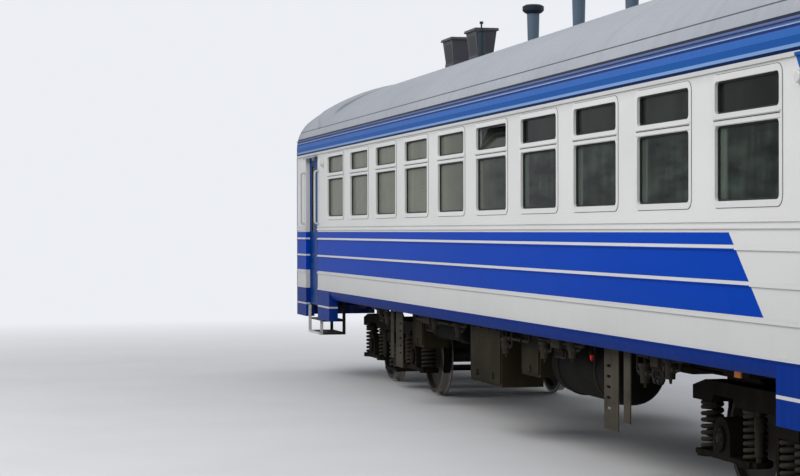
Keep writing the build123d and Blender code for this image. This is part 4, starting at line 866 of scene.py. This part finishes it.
# Transom trims: two pale strips under each vent, with a dark bar between them as painted shade of
# a groove
def make_transom_trims():
    strips = Form()
    groove_shade = Form()
    # Form, how far it stands out, Z, length past the glass, depth, height, edge
    bars = (
        (strips, 0.003, 2.873, 0.050, 0.007, 0.013, 0.002),
        (strips, 0.002, 2.828, 0.036, 0.005, 0.008, 0.0015),
        (groove_shade, 0.001, 2.857, 0.030, 0.003, 0.006, 0.001),
    )
    for way in side_names.values():
        for x in window_xs:
            for form, out, z, past, depth, height, edge in bars:
                size = (glass_width + past, depth, height)
                form.box((x, way * (frame_face + out), z), size, edge)
    strips.piece("transom_strips", "coach_body", frame_white)
    # The groove's dark bar, in the rubber's colour, is painted shade
    groove_shade.piece("transom_groove_shade", "coach_body", gasket_rubber)


# Glass of the sliding leaves, with a rubber round it, set inside the leaf's thickness
def make_leaf_dress():
    glass_y, glass_room = leaf_inner_face + 0.014, 0.002
    glass_corner, glass_thickness = 0.038, 0.006
    rubber_y = leaf_outer_face - 0.012
    rubber_corner, rubber_bar, rubber_depth = 0.040, 0.014, 0.011
    width, height = leaf_window_width, leaf_window_height
    for end, way_x in end_names.items():
        for side, way in side_names.items():
            for leaf in "ab":
                leaf_name = f"{end}_{side}_{leaf}"
                node = f"door_{leaf_name}"
                low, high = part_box(node)
                centre_x = (low.x + high.x) / 2
                shift = leaf_window_shift if centre_x > way_x * door_x else -leaf_window_shift
                x = way_x * door_x + shift
                body = body_of(nodes[node])[0]
                plate = Form()
                plate.pane(
                    (x, way * glass_y, leaf_window_middle), way, width - glass_room,
                    height - glass_room, glass_corner, glass_thickness,
                )
                plate.piece(f"leaf_glass_{leaf_name}", body, pane)
                trim = Form()
                trim.ring(
                    (x, way * rubber_y, leaf_window_middle), way, width, height,
                    rubber_corner, rubber_bar, rubber_depth,
                )
                trim.piece(f"leaf_rubber_{leaf_name}", body, gasket_rubber)


# Glass of the gangway doors
def make_gangway_glass():
    thickness, edge = 0.006, 0.002
    for end in end_names:
        node = f"gangway_door_{end}"
        low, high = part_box(node)
        middle = (low + high) / 2
        form = Form()
        form.box(
            (middle.x, middle.y, gangway_window_z),
            (thickness, gangway_window_width, gangway_window_height), edge,
        )
        body = body_of(nodes[node])[0]
        form.piece(f"gangway_glass_{end}", body, pane)


# Springs: real coils, an outer and an inner one, in place of each CAD cylinder
def make_springs():
    from_axle, from_pivot = 0.41, 0.125
    # Foot and head Z, radius (below zero where it starts on the other side), turns, steps in a
    # turn, the bar's radius and sides
    axle_coils = (
        (0.398, 0.743, 0.076, 8.0, 18, 0.0180, 8),
        (0.392, 0.749, -0.042, 11.0, 12, 0.0105, 6),
    )
    bolster_coils = (
        (0.300, 0.596, 0.083, 6.5, 18, 0.0205, 8),
        (0.292, 0.604, -0.044, 9.0, 12, 0.0115, 6),
    )
    seats = [
        (axle + shift, axle_coils)
        for axle in (-half_wheelbase, half_wheelbase)
        for shift in (-from_axle, from_axle)
    ]
    seats += [(shift, bolster_coils) for shift in (-from_pivot, from_pivot)]
    for end, way_x in end_names.items():
        node = f"bogie_springs_{end}"
        form = Form()
        for way in side_names.values():
            for offset, coils in seats:
                x = way_x * pivot_x + offset
                for foot, head, radius, turns, steps, bar, sides in coils:
                    line = coil(x, way * journal_y, foot, head, radius, turns, steps)
                    form.tube(line, bar, sides)
        body = body_of(nodes[node])[0]
        springs = form.piece(f"coil_springs_{end}", body, spring_steel, 60.0)
        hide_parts(node)


# A boss and bolts on the axle-box covers
def make_cover_bolts():
    sunk, boss_out, boss_radius, boss_end_radius = 0.001, 0.012, 0.042, 0.034
    bolt_count, bolt_circle, bolt_length, bolt_radius = 8, 0.076, 0.010, 0.0105
    for end, way_x in end_names.items():
        form = Form()
        for way in side_names.values():
            face_y = way * (cover_face - sunk)
            for axle in (-half_wheelbase, half_wheelbase):
                x = way_x * pivot_x + axle
                form.rod(
                    (x, face_y, axle_z), (x, way * (cover_face + boss_out), axle_z),
                    boss_radius, 24, boss_end_radius,
                )
                for step in range(bolt_count):
                    turn = math.tau * (step + 0.5) / bolt_count
                    spot = Vector((
                        x + bolt_circle * math.cos(turn), face_y,
                        axle_z + bolt_circle * math.sin(turn),
                    ))
                    form.rod(spot, spot + Vector((0, way * bolt_length, 0)), bolt_radius, 6)
        body = body_of(nodes[f"axle_boxes_{end}"])[0]
        form.piece(f"cover_bolts_{end}", body, light_gear)


# Equipment under the floor, as in the CAD
bearer_bottom = 1.158
# From X, to X, Y, radius
tanks = (
    (-2.90, -1.52, -1.290, 0.148),
    (1.56, 3.17, -1.130, 0.285),
    (-3.65, -2.50, 1.150, 0.200),
)
# From X, to X, Y of the outer face, bottom Z; each reaches up to bearer_bottom
case_faces = (
    (-0.62, 0.52, -1.574, 0.548),
    (0.93, 1.53, -1.494, 0.718),
    (-3.61, -3.07, -1.464, 0.728),
    (-2.13, -0.63, 1.554, 0.548),
    (0.31, 1.69, 1.554, 0.568),
    (2.38, 3.38, 1.514, 0.648),
)


# Straps round the reservoirs, hung from the frame above
def make_tank_straps():
    below_all, clearance, bar, arc_steps = 0.3, 0.005, 0.009, 16
    form = Form()
    for low_x, high_x, y, radius in tanks:
        z = bearer_bottom - radius
        reach = radius + clearance
        for share in (0.18, 0.82):
            x = low_x + (high_x - low_x) * share
            top = meet_z("underframe", x, y, below_all, 1)
            points = [(x, y - reach, top)]
            for step in range(arc_steps + 1):
                turn = math.pi + math.pi * step / arc_steps
                points.append((x, y + reach * math.cos(turn), z + reach * math.sin(turn)))
            points.append((x, y + reach, top))
            form.tube(points, bar, 8)
    form.piece("tank_straps", "coach_body", light_gear)


# Pipes, valves and boxes under the floor, hung from the side sills
sill_z = 1.209
sill_y = 1.575
# From X, to X, Z of the level run
pipe_runs = (
    (0.62, 1.50, 1.055), (-2.95, -0.75, 1.085), (1.75, 3.05, 1.100),
    (4.34, 5.32, 1.120), (-5.32, -4.34, 1.120), (4.70, 4.92, 0.940),
)
# X and the cup's bottom Z, on each side
valve_places = {
    -1: (
        (1.95, 0.930), (-1.05, 0.960), (2.75, 0.985), (0.72, 0.900), (-2.05, 0.990),
        (4.52, 0.905), (5.06, 0.975), (-4.40, 0.950),
    ),
    1: ((-0.16, 0.950), (2.04, 0.980), (-2.75, 0.960), (-4.52, 0.905), (4.40, 0.950)),
}
# X and length
junction_boxes = ((2.35, 0.26), (-2.35, 0.32), (4.80, 0.16), (-4.80, 0.16))


def add_pipe_run(pipes, y, low_x, high_x, drop):
    """A pipe that comes down from the sill and goes back up, on two hangers with clamps."""
    pipes.tube(bent([
        (low_x, y, sill_z), (low_x, y, drop), (high_x, y, drop), (high_x, y, sill_z)
    ], 0.05), 0.016, 10)
    for share in (0.3, 0.7):
        x = low_x + (high_x - low_x) * share
        pipes.rod((x, y, drop), (x, y, sill_z), 0.008, 8)
        pipes.rod((x - 0.018, y, drop), (x + 0.018, y, drop), 0.026, 12)


def add_valve(valves, pipes, y, x, drop):
    """A hanging valve: stem, tapered cup, collar, cross pipe with nuts, drain and two pipes."""
    cross_z = drop + 0.075
    valves.rod((x, y, sill_z), (x, y, drop + 0.12), 0.013, 10)
    valves.rod((x, y, drop + 0.13), (x, y, drop), 0.046, 18, 0.036)
    valves.rod((x, y, drop + 0.155), (x, y, drop + 0.125), 0.055, 18)
    valves.rod((x - 0.085, y, cross_z), (x + 0.085, y, cross_z), 0.019, 12)
    for way_x in (-1, 1):
        valves.rod((x + way_x * 0.075, y, cross_z), (x + way_x * 0.095, y, cross_z), 0.028, 6)
    valves.rod((x, y, drop + 0.002), (x, y, drop - 0.035), 0.016, 8, 0.010)
    for way_x, reach in ((1, 0.20), (-1, 0.17)):
        bend_x = x + way_x * reach
        pipes.tube(bent([
            (x + way_x * 0.09, y, cross_z), (bend_x, y, cross_z), (bend_x, y, sill_z)
        ], 0.045), 0.0115, 8)


def add_junction_box(valves, pipes, y, x, length):
    """A box under the sill with three glands, a looped conduit at each."""
    box_z, neck_z = 1.115, 1.188
    gland_top, gland_foot = 1.052, 1.02
    loop_low, loop_high, loop_width = 0.97, 1.03, 0.12
    valves.box((x, y, box_z), (length, 0.075, 0.13), 0.008)
    valves.box((x, y, neck_z), (length * 0.4, 0.05, 0.044), 0.004)
    for step in (-1, 0, 1):
        gland_x = x + step * length * 0.3
        far_x = gland_x + loop_width
        valves.rod((gland_x, y, gland_top), (gland_x, y, gland_foot), 0.014, 10)
        pipes.tube(bent([
            (gland_x, y, loop_high), (gland_x, y, loop_low),
            (far_x, y, loop_low), (far_x, y, loop_high),
        ], 0.03), 0.007, 6)


def make_floor_gear():
    pipes = Form()
    valves = Form()
    for way in side_names.values():
        y = way * sill_y
        for run in pipe_runs:
            add_pipe_run(pipes, y, *run)
        for place in valve_places[way]:
            add_valve(valves, pipes, y, *place)
        for place in junction_boxes:
            add_junction_box(valves, pipes, y, *place)
    pipes.piece("floor_pipes", "coach_body", pipe_paint)
    valves.piece("floor_valves", "coach_body", light_gear)


# Hinges and latches on the doors of the cases
def make_case_dress():
    door_width, hinge_half, hinge_drop = 0.6, 0.028, 0.045
    latch_share, handle_length, handle_drop = 0.16, 0.045, 0.012
    form = Form()
    for low_x, high_x, y, low_z in case_faces:
        way = -1 if y < 0 else 1
        doors = max(1, round((high_x - low_x) / door_width))
        width = (high_x - low_x) / doors
        hinge_y, hinge_z = y + way * 0.010, bearer_bottom - hinge_drop
        latch_z = low_z + (bearer_bottom - low_z) * latch_share
        for door in range(doors):
            start = low_x + (high_x - low_x) * door / doors
            for share in (0.25, 0.75):
                x = start + width * share
                form.rod(
                    (x - hinge_half, hinge_y, hinge_z), (x + hinge_half, hinge_y, hinge_z),
                    0.009, 10,
                )
            x = start + width / 2
            form.box((x, y + way * 0.008, latch_z), (0.030, 0.018, 0.060), 0.003)
            handle_y = y + way * 0.014
            form.rod(
                (x, handle_y, latch_z), (x + handle_length, handle_y, latch_z - handle_drop),
                0.006, 8,
            )
    form.piece("case_latches", "coach_body", light_gear)


# A red tell-tale lamp under the side and an amber tag by the bogie
def make_tell_tales():
    lamp_x, tag_x = -3.25, -6.32
    base = Form()
    lens = Form()
    tag = Form()
    # Form, top Z, bottom Z, radius, sides, radius at the bottom
    rods = (
        (base, sill_z, 1.075, 0.010, 10, 0.010),
        (base, 1.080, 1.045, 0.026, 18, 0.020),
        (lens, 1.046, 1.014, 0.017, 18, 0.014),
        (lens, 1.015, 0.998, 0.014, 18, 0.006),
    )
    for way in side_names.values():
        x, y = way * lamp_x, way * sill_y
        for form, top, bottom, radius, sides, end_radius in rods:
            form.rod((x, y, top), (x, y, bottom), radius, sides, end_radius)
        tag.box((way * tag_x, y, 1.108), (0.110, 0.012, 0.055), 0.003)
        tag.box((way * tag_x, y, 1.172), (0.024, 0.010, 0.076), 0.002)
    base.piece("tell_tale_base", "coach_body", gear)
    lens.piece("tell_tale_lens", "coach_body", red_lens)
    tag.piece("amber_tags", "coach_body", amber_paint)


# Curtains: gathered at one edge of each window, hung from a rod inside
rod_z = 3.135
rod_y = 1.594
rod_half = 0.70
bracket_x = 0.69
bracket_y = 1.616
rod_radius = 0.006
curtain_width = 0.20
curtain_drop = 0.83


def curtain_verts(x, way, index, across, down):
    """Points of a curtain: five folds that deepen downwards, drawn in a little at mid height."""
    folds, fold_depth, waist_depth, waist_foot = 5, 0.014, 0.30, 0.72
    verts = []
    for row in range(down + 1):
        share = row / down
        waist = 1.0 - waist_depth * math.sin(math.pi * min(share / waist_foot, 1.0)) ** 2
        sway = 0.004 * math.sin(9.0 * share + index)
        for column in range(across + 1):
            along = column / across
            swing = math.sin(math.tau * folds * along + 0.9 * index)
            verts.append((
                x - bracket_x + curtain_width * along * waist + sway,
                way * (rod_y + 0.003 - fold_depth * swing * (0.55 + 0.45 * share)),
                rod_z - 0.004 - curtain_drop * share,
            ))
    return verts


def make_curtains():
    across, down = 60, 14
    faces = []
    for row in range(down):
        for column in range(across):
            first = row * (across + 1) + column
            faces.append((first, first + 1, first + across + 2, first + across + 1))
    rods = Form()
    for side, way in side_names.items():
        y = way * rod_y
        for index, x in enumerate(window_xs):
            rods.rod((x - rod_half, y, rod_z), (x + rod_half, y, rod_z), rod_radius, 8)
            for bracket in (x - bracket_x, x + bracket_x):
                rods.rod(
                    (bracket, y, rod_z), (bracket, way * bracket_y, rod_z), rod_radius, 8
                )
            data = bpy.data.meshes.new("curtain")
            data.from_pydata(curtain_verts(x, way, index, across, down), [], faces)
            data.materials.append(curtain_cloth)
            data.shade_smooth()
            curtain = add_object(f"curtain_{side}_{index + 1}", data)
            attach(curtain, "coach_body")
    rods.piece("curtain_rods", "coach_body", rack)


# Roof fittings: ribbed spindles with dark knobs and feet on the roof's end platforms
def make_roof_fittings():
    above_all, sunk, rib_count = 6.0, 0.004, 4
    # X, Y, height
    spindles = ((9.02, 0.30, 0.22), (9.02, -0.30, 0.22), (8.70, 0.0, 0.24))
    stems = Form()
    knobs = Form()
    for way_x in end_names.values():
        for from_middle, y, tall in spindles:
            x = way_x * from_middle
            base = meet_z("roof_shell", x, y, above_all, -1)
            stems.rod((x, y, base - sunk), (x, y, base + tall), 0.016, 12)
            for step in range(rib_count):
                level = base + tall * (0.30 + 0.16 * step)
                stems.rod((x, y, level), (x, y, level + 0.020), 0.038, 16, 0.026)
            top = base + tall
            knobs.rod((x, y, top - 0.002), (x, y, top + 0.030), 0.026, 14, 0.018)
            knobs.rod((x, y, base - sunk), (x, y, base + 0.022), 0.045, 16)
    stems.piece("roof_spindles", "coach_body", porcelain)
    knobs.piece("roof_knobs", "coach_body", flue_dark)


make_window_rubbers()
make_transom_trims()
make_leaf_dress()
make_gangway_glass()
make_springs()
make_cover_bolts()
make_tank_straps()
make_floor_gear()
make_case_dress()
make_tell_tales()
make_curtains()
make_roof_fittings()


# Floor: plain and pale, melting into the backdrop with the distance
def make_floor():
    reach, melt_start, melt_end = 220.0, 13.0, 26.0
    s = Shader("floor_paint")
    speck = s.noise(0.6, 4.0)
    s.set(Base_Color=s.mix(s.fade(speck, 0.3, 0.8), floor_light, floor_dark), Roughness=0.9)
    distance = s.add("ShaderNodeVectorMath")
    distance.operation = "LENGTH"
    s.link(s.place, distance.inputs[0])
    plain = s.add("ShaderNodeEmission")
    plain.inputs["Color"].default_value = backdrop_colour
    melt = s.add("ShaderNodeMixShader")
    far_off = s.fade(distance.outputs["Value"], melt_start, melt_end)
    s.link(s.times(seen_rays(s.tree), far_off), melt.inputs[0])
    s.link(s.surface.outputs[0], melt.inputs[1])
    s.link(plain.outputs[0], melt.inputs[2])
    s.link(melt.outputs[0], s.out.inputs["Surface"])
    mesh = bpy.data.meshes.new("floor")
    corners = [(-reach, -reach, 0), (reach, -reach, 0), (reach, reach, 0), (-reach, reach, 0)]
    mesh.from_pydata(corners, [], [(0, 1, 2, 3)])
    mesh.materials.append(s.material)
    floor = add_object("floor", mesh)


make_floor()
bpy.context.scene.view_settings.view_transform = "Standard"
